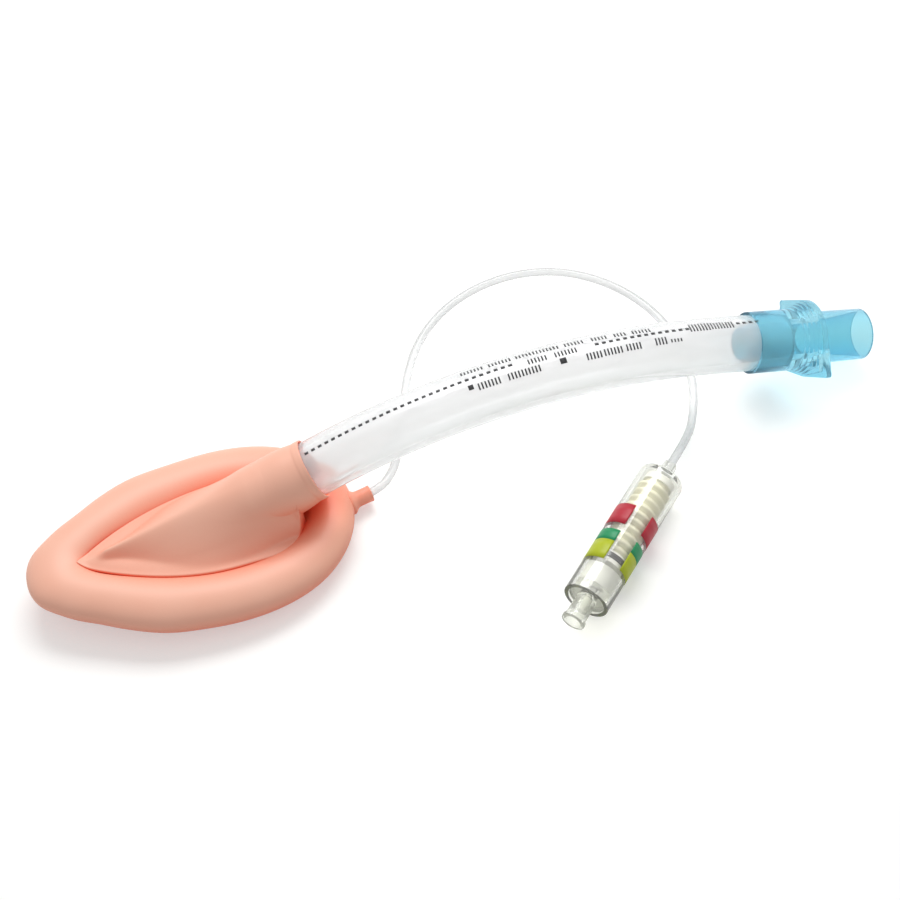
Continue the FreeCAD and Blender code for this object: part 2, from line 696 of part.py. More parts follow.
def build():
    resting = {
        "mask_cuff": make_cuff(),
        "mask_backplate": make_backplate().fuse(make_aperture_bars()).cut(cuff_ring(0.0)),
        "airway_tube": make_airway_tube(),
        "circuit_connector": make_circuit_connector(),
    }
    hanging = {
        "inflation_line": make_inflation_line(),
        "pilot_barrel": make_pilot_barrel(),
        "bellows_clamp": make_bellows_clamp(),
        "pressure_bellows": make_bellows(),
        "indicator_head": make_indicator_head(),
        "indicator_ring": make_indicator_ring(),
        "pilot_end_cap": make_end_cap(),
        "valve_cage": make_valve_cage(),
        "valve_spring": make_valve_spring(),
        "valve_plunger": make_valve_plunger(),
        "valve_seal": make_valve_seal(),
    }
    for name, shape in hanging.items():
        if name != "inflation_line":
            shape.Placement = pilot_placement().multiply(shape.Placement)
    move = settling_move(resting.values())
    nodes = {**resting, **hanging}
    for shape in nodes.values():
        shape.translate(move)
    return nodes


def settling_move(shapes):
    # Brings the middle of the mask, tube and connector over the origin, and their lowest point to the table
    boxes = [shape.optimalBoundingBox() for shape in shapes]
    low_x = min(box.XMin for box in boxes)
    high_x = max(box.XMax for box in boxes)
    move = V(-0.5 * (low_x + high_x), 0.0, -min(box.ZMin for box in boxes))
    print("moved by", move)
    return move


def export(nodes):
    os.makedirs("parts", exist_ok=True)
    for name, shape in nodes.items():
        if not shape.isValid():
            print("not valid:", name)
        print(name, "solids", len(shape.Solids), "volume", round(shape.Volume, 1), "faces", len(shape.Faces))
        shape.exportStep("parts/" + name + ".step")


export(build())
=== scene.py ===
# %% [markdown]
# # A laryngeal mask airway, dressed around its CAD frame
#
# The object is a soft mask on a clear curved tube. A blue connector joins the tube to a breathing
# circuit, and a thin line joins the mask's cuff to a pressure indicator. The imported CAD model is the
# fixed frame. Every surface here is worked out with numpy in the frame's own place and size, so each
# piece lands where the CAD has it, and only the finish and the small soft forms are added.

# %% Load the frame
import math

import bmesh
import bpy
import numpy as np
from mathutils import Matrix


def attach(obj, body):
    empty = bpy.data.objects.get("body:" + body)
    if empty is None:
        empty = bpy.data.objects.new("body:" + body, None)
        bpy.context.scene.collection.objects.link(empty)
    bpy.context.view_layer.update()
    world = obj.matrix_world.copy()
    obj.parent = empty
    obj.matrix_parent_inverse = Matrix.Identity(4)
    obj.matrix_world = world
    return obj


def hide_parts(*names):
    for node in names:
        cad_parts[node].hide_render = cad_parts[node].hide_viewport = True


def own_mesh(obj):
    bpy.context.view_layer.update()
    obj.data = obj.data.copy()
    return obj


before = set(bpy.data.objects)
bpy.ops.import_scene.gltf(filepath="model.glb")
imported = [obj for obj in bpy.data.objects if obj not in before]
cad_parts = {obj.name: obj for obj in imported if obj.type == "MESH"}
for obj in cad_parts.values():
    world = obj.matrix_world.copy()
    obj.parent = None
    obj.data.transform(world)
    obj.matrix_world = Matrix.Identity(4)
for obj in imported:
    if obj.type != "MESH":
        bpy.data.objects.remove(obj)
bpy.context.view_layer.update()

# %% [markdown]
# The CAD source measures in millimetres from the tube's first printed dash, and then moves the whole
# object over the origin. The scene does its sums in the same millimetres and makes the same move, so
# a number here can be compared with the same number there.

# %% Units and the move into the frame
MM = 0.001
SETTLED = np.array([-40.1578, 0.0, 0.0118])
UP = np.array([0.0, 0.0, 1.0])
ACROSS = np.array([0.0, 1.0, 0.0])
WHITE = (1.0, 1.0, 1.0, 1.0)

# %% [markdown]
# ## The camera
#
# The camera was found by fitting the connector's 15 mm cone, the tube's dashes and the line's loop to
# the photograph. It looks down at the table from the front, a little from the left. Its three axes
# are written as the columns of a rotation, which says more plainly than angles do what is level.

# %% Camera
CAMERA_PLACE = (-0.05398, -0.30124, 0.39264)
CAMERA_RIGHT = (0.9497, -0.2949, -0.1049)
CAMERA_UP = (0.2946, 0.7294, 0.6173)
CAMERA_BACK = (-0.1056, -0.6172, 0.7797)

camera_data = bpy.data.cameras.new("camera")
camera_data.lens = 67.9
camera_data.sensor_width = 36.0
camera_data.clip_start = 0.01
camera = bpy.data.objects.new("camera", camera_data)
bpy.context.scene.collection.objects.link(camera)
turn = Matrix((CAMERA_RIGHT, CAMERA_UP, CAMERA_BACK)).transposed()
camera.matrix_world = Matrix.Translation(CAMERA_PLACE) @ turn.to_4x4()
bpy.context.scene.camera = camera

# %% [markdown]
# ## The inflation line
#
# The line is a soft PVC tube, 2.5 mm thick. It leaves the cuff's port, drops to the table, swings out
# behind the airway tube and comes back under it to the pressure indicator. One smooth NURBS spline
# with the CAD route's points as control points is how such a tube lies: it has no corner anywhere.
# The order and the end rule are set after the points are there, because before that they don't hold.

# %% Inflation line
LINE_ROUTE = [
    (-0.03146, -0.00073, 0.00401), (-0.02415, 0.00043, 0.00401), (-0.01916, 0.00600, 0.00311),
    (-0.01576, 0.01290, 0.00181), (-0.01206, 0.02260, 0.00126), (-0.00816, 0.03300, 0.00126),
    (-0.00396, 0.04300, 0.00126), (0.00224, 0.05320, 0.00126), (0.01194, 0.06240, 0.00126),
    (0.02464, 0.06830, 0.00126), (0.03874, 0.06960, 0.00126), (0.05214, 0.06580, 0.00126),
    (0.06334, 0.05710, 0.00126), (0.07144, 0.04530, 0.00126), (0.07594, 0.03190, 0.00126),
    (0.07694, 0.01780, 0.00126), (0.07434, 0.00370, 0.00126), (0.06844, -0.00900, 0.00151),
    (0.06414, -0.01490, 0.00341), (0.05860, -0.02163, 0.00661), (0.05229, -0.02732, 0.00661),
]
LINE_DIAMETER = 0.0025

line_curve = bpy.data.curves.new("inflation_line_clear", "CURVE")
line_curve.dimensions = "3D"
line_curve.bevel_depth = 1.0
line_curve.bevel_resolution = 6
line_curve.resolution_u = 10
line_curve.use_fill_caps = True
spline = line_curve.splines.new("NURBS")
spline.points.add(len(LINE_ROUTE) - 1)
for point, place in zip(spline.points, LINE_ROUTE):
    point.co = (*place, 1.0)
    point.radius = 0.5 * LINE_DIAMETER
spline.order_u = 3
spline.use_endpoint_u = True
inflation_line = bpy.data.objects.new("inflation_line_clear", line_curve)
bpy.context.scene.collection.objects.link(inflation_line)
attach(inflation_line, "airway")
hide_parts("inflation_line")

# %% [markdown]
# ## Nodes and colours
#
# Colours are chosen as they look on a screen, so they are written as sRGB hex values. Blender
# computes with linear light, and one function makes the change. One more function adds a node with
# its settings and its links, which keeps each material below to a few lines.

# %% Colour and node helpers
def linear(code, alpha=1.0):
    """An sRGB hex colour as linear light: each channel c becomes ((c + 0.055) / 1.055) ** 2.4, or
    c / 12.92 where it is very dark."""
    channels = [int(code[i:i + 2], 16) / 255.0 for i in (1, 3, 5)]
    bright = [((c + 0.055) / 1.055) ** 2.4 if c > 0.04045 else c / 12.92 for c in channels]
    return (*bright, alpha)


def add_node(owner, kind, settings=None, inputs=None):
    """Adds one node: settings are its properties, and each input is a value or an output to link."""
    node = owner.node_tree.nodes.new(kind)
    for key, value in (settings or {}).items():
        setattr(node, key, value)
    for key, value in (inputs or {}).items():
        if isinstance(value, bpy.types.NodeSocket):
            owner.node_tree.links.new(value, node.inputs[key])
        else:
            node.inputs[key].default_value = value
    return node


def new_material(name):
    """An empty node material."""
    material = bpy.data.materials.new(name)
    material.use_nodes = True
    material.node_tree.nodes.clear()
    return material


# %% [markdown]
# ## The studio
#
# The photograph is a catalogue picture on white. The floor is a plain pale plane that shows white to
# the camera and keeps a soft shadow, and the world is a white tent. The brightness of what the camera,
# a reflection or a clear wall sees is set apart from the light that falls on the object, so the white
# never comes from too much light. One large soft box, above the object and behind it, models the
# forms and leaves a long streak on anything glossy, as in the photograph.

# %% World
TENT_LIGHT = 0.47


def seen_ray(owner):
    """1 for a ray from the camera, a reflection or a clear wall, and 0 for a ray of plain light."""
    path = add_node(owner, "ShaderNodeLightPath")
    mirrored = add_node(owner, "ShaderNodeMath", {"operation": "MAXIMUM"},
                        {0: path.outputs["Is Camera Ray"], 1: path.outputs["Is Glossy Ray"]})
    seen = add_node(owner, "ShaderNodeMath", {"operation": "MAXIMUM"},
                    {0: mirrored.outputs[0], 1: path.outputs["Is Transmission Ray"]})
    return seen.outputs[0]


scene = bpy.context.scene
scene.view_settings.view_transform = "Standard"
world = bpy.data.worlds.new("white_tent")
world.use_nodes = True
world.node_tree.nodes.clear()
scene.world = world
tent = add_node(world, "ShaderNodeBackground", None, {"Color": WHITE, "Strength": TENT_LIGHT})
shown = add_node(world, "ShaderNodeBackground", None, {"Color": WHITE, "Strength": 1.0})
chosen = add_node(world, "ShaderNodeMixShader", None,
                  {0: seen_ray(world), 1: tent.outputs[0], 2: shown.outputs[0]})
add_node(world, "ShaderNodeOutputWorld", None, {"Surface": chosen.outputs[0]})

# %% Soft box
KEY_PLACE = (0.12, 0.36, 0.58)
KEY_SIZE = (0.55, 0.26)
KEY_WATTS = 3.4

lamp = bpy.data.lights.new("key_box", "AREA")
lamp.shape = "RECTANGLE"
lamp.size, lamp.size_y = KEY_SIZE
lamp.energy = KEY_WATTS
key_box = bpy.data.objects.new("key_box", lamp)
key_box.location = KEY_PLACE
key_box.rotation_mode = "QUATERNION"
towards_object = -key_box.location
key_box.rotation_quaternion = towards_object.to_track_quat("-Z", "Y")
scene.collection.objects.link(key_box)

# %% Floor
CARD_GLOW = 0.42
FLOOR_HALF = 1.5

floor_finish = new_material("pale_card")
card = add_node(floor_finish, "ShaderNodeBsdfDiffuse", None, {"Color": linear("#DADAD8")})
glow = add_node(floor_finish, "ShaderNodeEmission", None, {"Color": WHITE, "Strength": CARD_GLOW})
bright = add_node(floor_finish, "ShaderNodeAddShader", None, {0: card.outputs[0], 1: glow.outputs[0]})
chosen = add_node(floor_finish, "ShaderNodeMixShader", None,
                  {0: seen_ray(floor_finish), 1: card.outputs[0], 2: bright.outputs[0]})
add_node(floor_finish, "ShaderNodeOutputMaterial", None, {"Surface": chosen.outputs[0]})

floor_mesh = bpy.data.meshes.new("floor")
corners = [(x * FLOOR_HALF, y * FLOOR_HALF, 0.0) for x, y in ((-1, -1), (1, -1), (1, 1), (-1, 1))]
floor_mesh.from_pydata(corners, [], [(0, 1, 2, 3)])
floor_mesh.materials.append(floor_finish)
floor = bpy.data.objects.new("floor", floor_mesh)
scene.collection.objects.link(floor)

# %% [markdown]
# ## Surfaces on grids
#
# Each shape below is a function of two parameters, computed for the whole grid at once. A grid can
# join up round its columns, as a tube does, and along its rows, as a ring does. Where it doesn't join
# along its rows, its two end rows are closed with a cap. So each shape is a closed skin, and its faces
# can be turned outwards without doubt.

# %% Grids into meshes
def grid_faces(rows, columns, start, wrap_rows):
    """Quads between neighbouring points of a grid whose columns join up: point (i, j) has the number
    start + i * columns + j, and the last row joins the first one where wrap_rows says so."""
    i = np.arange(rows if wrap_rows else rows - 1)[:, None]
    j = np.arange(columns)[None, :]
    beyond = (j + 1) % columns
    lower = i * columns
    upper = ((i + 1) % rows) * columns
    corners = np.stack([lower + j, lower + beyond, upper + beyond, upper + j], -1)
    return corners.reshape(-1, 4) + start


def skin(name, grids, material, body="airway"):
    """One object from closed grids of points in millimetres of the working frame. A grid is (points,
    ring), and ring says that its rows join up. A third item marks the faces to leave out, by centre."""
    vertices = []
    faces = []
    count = 0
    for points, ring, *left_out in grids:
        rows, columns = points.shape[:2]
        vertices.append((points.reshape(-1, 3) + SETTLED) * MM)
        quads = grid_faces(rows, columns, count, ring)
        for drop in left_out:
            centres = points.reshape(-1, 3)[quads - count].mean(1)
            quads = quads[~drop(centres)]
        faces += quads.tolist()
        if not ring:
            faces.append(list(range(count, count + columns)))
            faces.append(list(range(count + (rows - 1) * columns, count + rows * columns)))
        count += rows * columns
    mesh = bpy.data.meshes.new(name)
    mesh.from_pydata(np.concatenate(vertices).tolist(), [], faces)
    tidy = bmesh.new()
    tidy.from_mesh(mesh)
    bmesh.ops.remove_doubles(tidy, verts=tidy.verts, dist=1e-7)
    bmesh.ops.recalc_face_normals(tidy, faces=tidy.faces)
    tidy.to_mesh(mesh)
    tidy.free()
    mesh.shade_smooth()
    mesh.materials.append(material)
    piece = bpy.data.objects.new(name, mesh)
    scene.collection.objects.link(piece)
    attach(piece, body)
    print(name, len(mesh.polygons), "faces")
    return piece


# %% Profiles
def rounded(profile, radius, steps=4, ring=True):
    """Each corner of a line becomes a quadratic curve (1-t)^2 a + 2t(1-t) corner + t^2 b, from a point
    a little before the corner to one as far after it. An open line keeps its two ends."""
    corner = np.asarray(profile, float)
    radius = np.broadcast_to(np.asarray(radius, float), len(corner))[:, None]
    before = np.roll(corner, 1, 0) - corner
    after = np.roll(corner, -1, 0) - corner
    ends = []
    for run in (before, after):
        length = np.maximum(np.linalg.norm(run, axis=1, keepdims=True), 1e-9)
        ends.append(corner + run * (np.minimum(radius, 0.45 * length) / length))
    start, end = (point[:, None] for point in ends)
    t = np.linspace(0.0, 1.0, steps + 1)[None, :, None]
    curve = (1 - t) ** 2 * start + 2 * t * (1 - t) * corner[:, None] + t ** 2 * end
    if ring:
        return curve.reshape(-1, corner.shape[1])
    middle = curve[1:-1].reshape(-1, corner.shape[1])
    return np.concatenate([corner[:1], middle, corner[-1:]])


def turned(profile, origin, axis, up=UP, columns=96):
    """A profile of (radius, along) points carried round an axis: origin + axis * along + radius *
    (up * cos + side * sin)."""
    radius = np.asarray(profile)[:, 0][:, None, None]
    along = np.asarray(profile)[:, 1][:, None, None]
    angle = np.linspace(0.0, 2.0 * np.pi, columns, endpoint=False)[None, :, None]
    side = np.cross(axis, up)
    return origin + axis * along + radius * (up * np.cos(angle) + side * np.sin(angle))


def slab(top, bottom):
    """Two grids of the same size as one closed skin: each row runs over the top and back below."""
    return np.concatenate([top, bottom[:, ::-1]], axis=1)


# %% Curves of one number
def smooth_step(value, start, end):
    """Rises from 0 at start to 1 at end as t^2 (3 - 2t)."""
    t = np.clip((value - start) / (end - start), 0.0, 1.0)
    return t * t * (3.0 - 2.0 * t)


def bell(value, height, place, width):
    """A bump of some height: height * exp(-((value - place) / width)^2)."""
    return height * np.exp(-((value - place) / width) ** 2)


def smooth_max(a, b, soft):
    """(a + b + sqrt((a - b)^2 + soft^2)) / 2, which rounds the corner where two heights cross."""
    return 0.5 * (a + b + np.sqrt((a - b) ** 2 + soft ** 2))


# %% [markdown]
# ## Materials of the airway
#
# The mask is peach-coloured medical silicone, moulded in a fine matt tool. Light that bounces about
# in a hollow of it turns redder at each bounce, and that red shade is painted into its colour there.
# The clear pieces are soft PVC and hard acrylic. PVC is never quite clear: a little of the light
# scatters in it, so it looks whitish. Where one looks along a wall, shade is painted on as a greyer
# colour. Through clear plastic most of the light goes on, so it casts a pale shadow.

# %% Silicone
# Reach and power of the shade painted into the silicone's hollows.
PAINTED_SHADE_REACH = 0.022
PAINTED_SHADE_POWER = 1.3


def silicone():
    """Moulded peach silicone: satin, with a faint cloudiness and a matt tool's grain, which is drawn
    at 0.9 mm so that it shows at all. Shade is painted into the hollows: the colour deepens towards
    red where the sky within 22 mm is hidden, standing in for light that turns redder as it bounces
    about in them."""
    material = new_material("moulded_silicone")
    place = add_node(material, "ShaderNodeTexCoord").outputs["Object"]
    cloud = add_node(material, "ShaderNodeTexNoise", None, {"Vector": place, "Scale": 70.0, "Detail": 2.0})
    grain = add_node(material, "ShaderNodeTexNoise", None,
                     {"Vector": place, "Scale": 1100.0, "Detail": 2.0})
    skin_tone = add_node(material, "ShaderNodeMix", {"data_type": "RGBA"},
                         {"Factor": cloud.outputs["Fac"], 6: linear("#FBB89E"), 7: linear("#FCC2AA")})
    # Painted shade: the colour is mixed towards a deep red, #F8683F, where the sky within 22 mm is hidden.
    open_sky = add_node(material, "ShaderNodeAmbientOcclusion", {"samples": 8},
                        {"Distance": PAINTED_SHADE_REACH})
    painted_shade_mix = add_node(material, "ShaderNodeMath", {"operation": "POWER"},
                     {0: open_sky.outputs["AO"], 1: PAINTED_SHADE_POWER})
    colour = add_node(material, "ShaderNodeMix", {"data_type": "RGBA"},
                      {"Factor": painted_shade_mix.outputs[0], 6: linear("#F8683F"), 7: skin_tone.outputs[2]})
    gloss = add_node(material, "ShaderNodeMapRange", None,
                     {"Value": cloud.outputs["Fac"], "To Min": 0.4, "To Max": 0.5})
    bump = add_node(material, "ShaderNodeBump", None,
                    {"Strength": 0.06, "Distance": 0.0002, "Height": grain.outputs["Fac"]})
    body = add_node(material, "ShaderNodeBsdfPrincipled", None, {
        "Base Color": colour.outputs[2], "Roughness": gloss.outputs[0], "IOR": 1.5,
        "Normal": bump.outputs[0]})
    add_node(material, "ShaderNodeOutputMaterial", None, {"Surface": body.outputs[0]})
    return material


SILICONE = silicone()


# %% Clear plastics
def clear_plastic(name, middle, edge, through, roughness, ior, shadow):
    """Clear plastic: middle is its colour where one looks straight through the wall, and edge where
    one looks along it, which is painted shade there, and in a tinted plastic also its own colour seen
    through more of its thickness. through is the share of light that passes, and the rest scatters in it."""
    material = new_material(name)
    place = add_node(material, "ShaderNodeTexCoord").outputs["Object"]
    haze = add_node(material, "ShaderNodeTexNoise", None, {"Vector": place, "Scale": 120.0, "Detail": 3.0})
    # Painted shade: towards the edges the colour turns to edge, greyer or deeper, as the wall is seen more
    # along it.
    edge_shade_and_tint = add_node(material, "ShaderNodeLayerWeight", None, {"Blend": 0.35})
    colour = add_node(material, "ShaderNodeMix", {"data_type": "RGBA"},
                      {"Factor": edge_shade_and_tint.outputs["Facing"], 6: linear(middle), 7: linear(edge)})
    gloss = add_node(material, "ShaderNodeMapRange", None,
                     {"Value": haze.outputs["Fac"], "To Min": roughness, "To Max": roughness + 0.04})
    body = add_node(material, "ShaderNodeBsdfPrincipled", None, {
        "Base Color": colour.outputs[2], "Roughness": gloss.outputs[0], "IOR": ior,
        "Transmission Weight": through})
    lit = add_node(material, "ShaderNodeBsdfTransparent", None, {"Color": linear(shadow)})
    path = add_node(material, "ShaderNodeLightPath")
    either = add_node(material, "ShaderNodeMixShader", None,
                      {0: path.outputs["Is Shadow Ray"], 1: body.outputs[0], 2: lit.outputs[0]})
    add_node(material, "ShaderNodeOutputMaterial", None, {"Surface": either.outputs[0]})
    return material


# The hard acrylic of the barrel is the clearest, and its moulded cap a little hazier. The valve's
# natural plastic is milky. The connector is dyed all through, so it is deepest along its walls, where
# the dye adds to the shade painted there.
# In each line: colours of the middle and of the edge, where shade is painted, share let through,
# roughness, IOR, shadow colour.
TUBE_PVC = clear_plastic("clear_soft_pvc", "#FFFFFF", "#E0E3E4", 0.73, 0.08, 1.42, "#EAECEC")
LINE_PVC = clear_plastic("clear_line_pvc", "#F4F5F5", "#7B7E80", 0.70, 0.08, 1.42, "#E0E0E0")
ACRYLIC = clear_plastic("clear_acrylic", "#FDFDFC", "#C4C7B2", 0.94, 0.02, 1.46, "#F1F1EE")
CAP_ACRYLIC = clear_plastic("moulded_cap_acrylic", "#FBFCF8", "#D0D3C4", 0.84, 0.05, 1.42, "#F0F0EC")
VALVE_PLASTIC = clear_plastic("natural_polycarbonate", "#FAFAF6", "#E2E4DC", 0.45, 0.12, 1.35, "#F0F0EA")
BLUE_PLASTIC = clear_plastic("tinted_polycarbonate", "#B6E9F1", "#1D9DCB", 0.82, 0.03, 1.26, "#E9F2F4")
inflation_line.data.materials.append(LINE_PVC)


# %% Opaque finishes
def opaque(name, colour, other, roughness, scale, bump_strength=0.04, metallic=0.0):
    """A moulded or turned opaque finish with two near colours in clouds of 1 / scale metres, and a
    little unevenness of the surface at a third of that size."""
    material = new_material(name)
    place = add_node(material, "ShaderNodeTexCoord").outputs["Object"]
    cloud = add_node(material, "ShaderNodeTexNoise", None, {"Vector": place, "Scale": scale, "Detail": 3.0})
    fine = add_node(material, "ShaderNodeTexNoise", None, {"Vector": place, "Scale": 3.0 * scale})
    mixed = add_node(material, "ShaderNodeMix", {"data_type": "RGBA"},
                     {"Factor": cloud.outputs["Fac"], 6: linear(colour), 7: linear(other)})
    gloss = add_node(material, "ShaderNodeMapRange", None,
                     {"Value": cloud.outputs["Fac"], "To Min": roughness, "To Max": roughness + 0.1})
    bump = add_node(material, "ShaderNodeBump", None,
                    {"Strength": bump_strength, "Distance": 0.0002, "Height": fine.outputs["Fac"]})
    body = add_node(material, "ShaderNodeBsdfPrincipled", None, {
        "Base Color": mixed.outputs[2], "Roughness": gloss.outputs[0], "Metallic": metallic,
        "IOR": 1.5, "Normal": bump.outputs[0]})
    add_node(material, "ShaderNodeOutputMaterial", None, {"Surface": body.outputs[0]})
    return material


# Printed ink and moulded acetal or nylon have a soft sheen, the seal's rubber is dull, and the drawn
# wire is bright steel, a little uneven. In each line: two colours, roughness, clouds to the metre.
PRINT_INK = opaque("black_pad_print", "#1E1E20", "#2C2C2E", 0.45, 900.0)
RED_INK = opaque("red_label_ink", "#B3152A", "#BC2036", 0.4, 500.0)
GREEN_INK = opaque("green_label_ink", "#008A52", "#00945C", 0.4, 500.0)
LIME_INK = opaque("yellow_green_label_ink", "#ADBA04", "#B7C410", 0.4, 500.0)
BELLOWS_RUBBER = opaque("ivory_bellows_silicone", "#E9E6CF", "#DFDBC0", 0.4, 400.0)
HEAD_PLASTIC = opaque("white_moulded_acetal", "#F4F3EE", "#ECEBE4", 0.35, 500.0)
RING_PLASTIC = opaque("black_moulded_acetal", "#17171A", "#232326", 0.45, 500.0)
CLAMP_PLASTIC = opaque("white_moulded_nylon", "#EDECE6", "#E4E3DB", 0.4, 500.0)
SEAL_RUBBER = opaque("dark_seal_rubber", "#2A2A2C", "#353538", 0.6, 700.0)
SPRING_STEEL = opaque("drawn_spring_steel", "#B9BBBD", "#A8AAAD", 0.25, 900.0,
                      bump_strength=0.03, metallic=1.0)

# %% [markdown]
# ## The cuff
#
# The cuff is an inflated ring. Seen from above it lies between two egg-shaped outlines, and cut
# through anywhere it is an ellipse that spans from the inner outline to the outer one. So the whole
# ring is one function of two angles: the place round the ring, and the place round the section.

# %% Egg-shaped outlines
CUFF_NECK_END = 6.85
CUFF_NECK_BREADTH = 16.4
CUFF_HALF_LENGTH = 47.1
# The two eggs: neck end, half length, half width, taper.
CUFF_OUTER = (CUFF_NECK_END, CUFF_HALF_LENGTH, 29.25, 0.21)
CUFF_INNER = (CUFF_NECK_END - CUFF_NECK_BREADTH, 30.3, 12.8, 0.34)
# Bells along x: height, place, width.
CUFF_WAIST = (-0.5, -71.0, 5.0)
CUFF_FLANK = (0.9, -54.0, 9.0)
CUFF_TIP_LIFT = 5.8
CUFF_RADIUS_NECK = 5.35
CUFF_RADIUS_SIDE = 6.7
CUFF_RADIUS_TIP = 4.7
CUFF_SETTLES = 0.9


def egg(angle, neck_end, half_length, half_width, taper):
    """x = neck end - half length * (1 + cos), y = half width * sin * (1 - taper * cos); 0 is the tip."""
    x = neck_end - half_length * (1.0 + np.cos(angle))
    y = half_width * np.sin(angle) * (1.0 - taper * np.cos(angle))
    return np.stack([x, y, 0.0 * x], -1)


def cuff_outer(angle):
    """The outer egg with a blunter tip, a slight waist beyond it and a fuller flank, as an inflated
    ring has: |sin| ^ power at the tip, and two bell curves across."""
    around = np.abs(np.angle(np.exp(1j * angle)))
    outline = egg(angle, *CUFF_OUTER)
    power = -0.12 * (1.0 - smooth_step(around, 0.25, 0.6))
    blunt = np.maximum(np.abs(np.sin(angle)), 1e-9) ** power
    wider = bell(outline[..., 0], *CUFF_WAIST) + bell(outline[..., 0], *CUFF_FLANK)
    outline[..., 1] = outline[..., 1] * blunt + np.sign(np.sin(angle)) * wider
    return outline


def settle(x):
    """The soft ring lies nearer to the front along its neck half, which fades at both ends."""
    return -CUFF_SETTLES * smooth_step(x, -66.0, -34.0) * (1.0 - 0.6 * smooth_step(x, -10.0, 6.0))


def cuff_radius(share):
    """Quadratic blend of the section's half-heights at the neck end, the sides and the tip."""
    sides = 2 * CUFF_RADIUS_SIDE * share * (1 - share)
    return CUFF_RADIUS_NECK * (1 - share) ** 2 + sides + CUFF_RADIUS_TIP * share ** 2


def cuff_grid(rows=300, columns=72):
    """Centre + half span * sin(turn) - up * radius * cos(turn), for each place round the ring."""
    angle = np.linspace(0.0, 2.0 * np.pi, rows, endpoint=False)[:, None]
    turn = np.linspace(0.0, 2.0 * np.pi, columns, endpoint=False)[None, :, None]
    share = 0.5 * (1.0 + np.cos(angle))[..., None]
    outer = cuff_outer(angle)
    inner = egg(angle, *CUFF_INNER)
    radius = cuff_radius(share)
    centre = 0.5 * (outer + inner) + UP * (radius + CUFF_TIP_LIFT * share ** 2)
    ring = centre + 0.5 * (outer - inner) * np.sin(turn) - UP * radius * np.cos(turn)
    ring[..., 1] += settle(ring[..., 0])
    return ring


# %% Cuff and its port
PORT_MOUTH = np.array([12.65, -0.1, 4.0])
PORT_YAW = math.radians(9.0)
PORT_LENGTH = 9.1
PORT_RADIUS = 2.35
PORT_FLARE = 1.4
PORT_FLARE_START = 2.7
PORT_FLARE_SPREAD = 1.2
SOCKET_RADIUS = 1.27
SOCKET_FLOOR = 5.2


def port_grid():
    """The port: a stub that flares into the cuff as radius + flare * exp(-(t - start)^2 / spread),
    with a rounded lip and the socket that holds the line."""
    t = np.linspace(0.5, 8.2, 24)
    beyond = np.maximum(t - PORT_FLARE_START, 0.0)
    flare = PORT_RADIUS + PORT_FLARE * np.exp(-beyond ** 2 / PORT_FLARE_SPREAD)
    lip = rounded([(PORT_RADIUS, 8.3), (2.5, PORT_LENGTH), (SOCKET_RADIUS, PORT_LENGTH),
                   (SOCKET_RADIUS, SOCKET_FLOOR)], 0.3, ring=False)
    profile = [(0.02, 0.5), *zip(flare, t), *lip, (0.02, SOCKET_FLOOR)]
    axis = np.array([math.cos(PORT_YAW), math.sin(PORT_YAW), 0.0])
    return turned(profile, PORT_MOUTH - axis * PORT_LENGTH, axis, columns=64)


cuff = skin("mask_cuff_silicone", [(cuff_grid(), True), (port_grid(), False)], SILICONE)
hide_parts("mask_cuff")

# %% [markdown]
# ## The tube's path
#
# The tube's centreline is straight in the mask's neck, then a long arc, then straight again. The
# pieces on it are placed by s, the length along it, and by an angle round it that is zero on top.

# %% Tube path
BEND_RADIUS = 189.7
ARC_LENGTH = 117.3
START_PITCH = math.radians(17.8)
NECK_AXIS_HEIGHT = 22.88
TUBE_RADIUS = 8.15
TUBE_BORE = 5.55
TUBE_EDGE = 0.3
TUBE_START = -19.0
TUBE_END = 142.7


def tube_frame(s):
    """Centre, forward and upward directions at s: the pitch falls by arc / bend radius, and the
    centre is the sum of that arc and the straight rest."""
    s = np.asarray(s, float)
    arc = np.clip(s, 0.0, ARC_LENGTH)
    pitch = START_PITCH - arc / BEND_RADIUS
    forward = np.stack([np.cos(pitch), 0.0 * s, np.sin(pitch)], -1)
    upward = np.stack([-np.sin(pitch), 0.0 * s, np.cos(pitch)], -1)
    x = BEND_RADIUS * (math.sin(START_PITCH) - np.sin(pitch))
    z = NECK_AXIS_HEIGHT + BEND_RADIUS * (np.cos(pitch) - math.cos(START_PITCH))
    centre = np.stack([x, 0.0 * s, z], -1) + forward * (s - arc)[..., None]
    return centre, forward, upward


def round_tube(s, angle, radius):
    """Points at a radius from the centreline: centre + radius * (upward * cos + across * sin)."""
    centre, _, upward = tube_frame(s)
    ring = upward * np.cos(angle)[..., None] + ACROSS * np.sin(angle)[..., None]
    return centre + ring * np.asarray(radius)[..., None]


# %% [markdown]
# ## The backplate
#
# The backplate is one silicone moulding: a leaf-shaped plate on the cuff, a ridged dome over the bowl
# and a neck for the tube. The plate and dome are a height over the leaf's plan. Two heights are joined
# by a smooth maximum, which leaves the soft inner corner that a mould has. The neck overhangs the
# plate, so it can't be a height, and is a turned sleeve whose inner end is buried in the dome.

# %% The leaf's plate
LEAF_THICKNESS = 2.2
LEAF_TIP = -72.3
LEAF_NECK_END = -6.6
LEAF_HALF_WIDTH = 15.6
LEAF_WIDENING = 44.0
LEAF_POWER = 0.78
LEAF_ROUND_FROM = -20.0
LEAF_HEIGHT = 10.7
LEAF_RISE = 2.9
EDGE_ROUNDING = 0.5


def leaf_height(x):
    """The plate's upper face rises evenly from 10.7 at the neck end to 13.6 at the tip."""
    return LEAF_HEIGHT + LEAF_RISE * (CUFF_NECK_END - x) / (2.0 * CUFF_HALF_LENGTH)


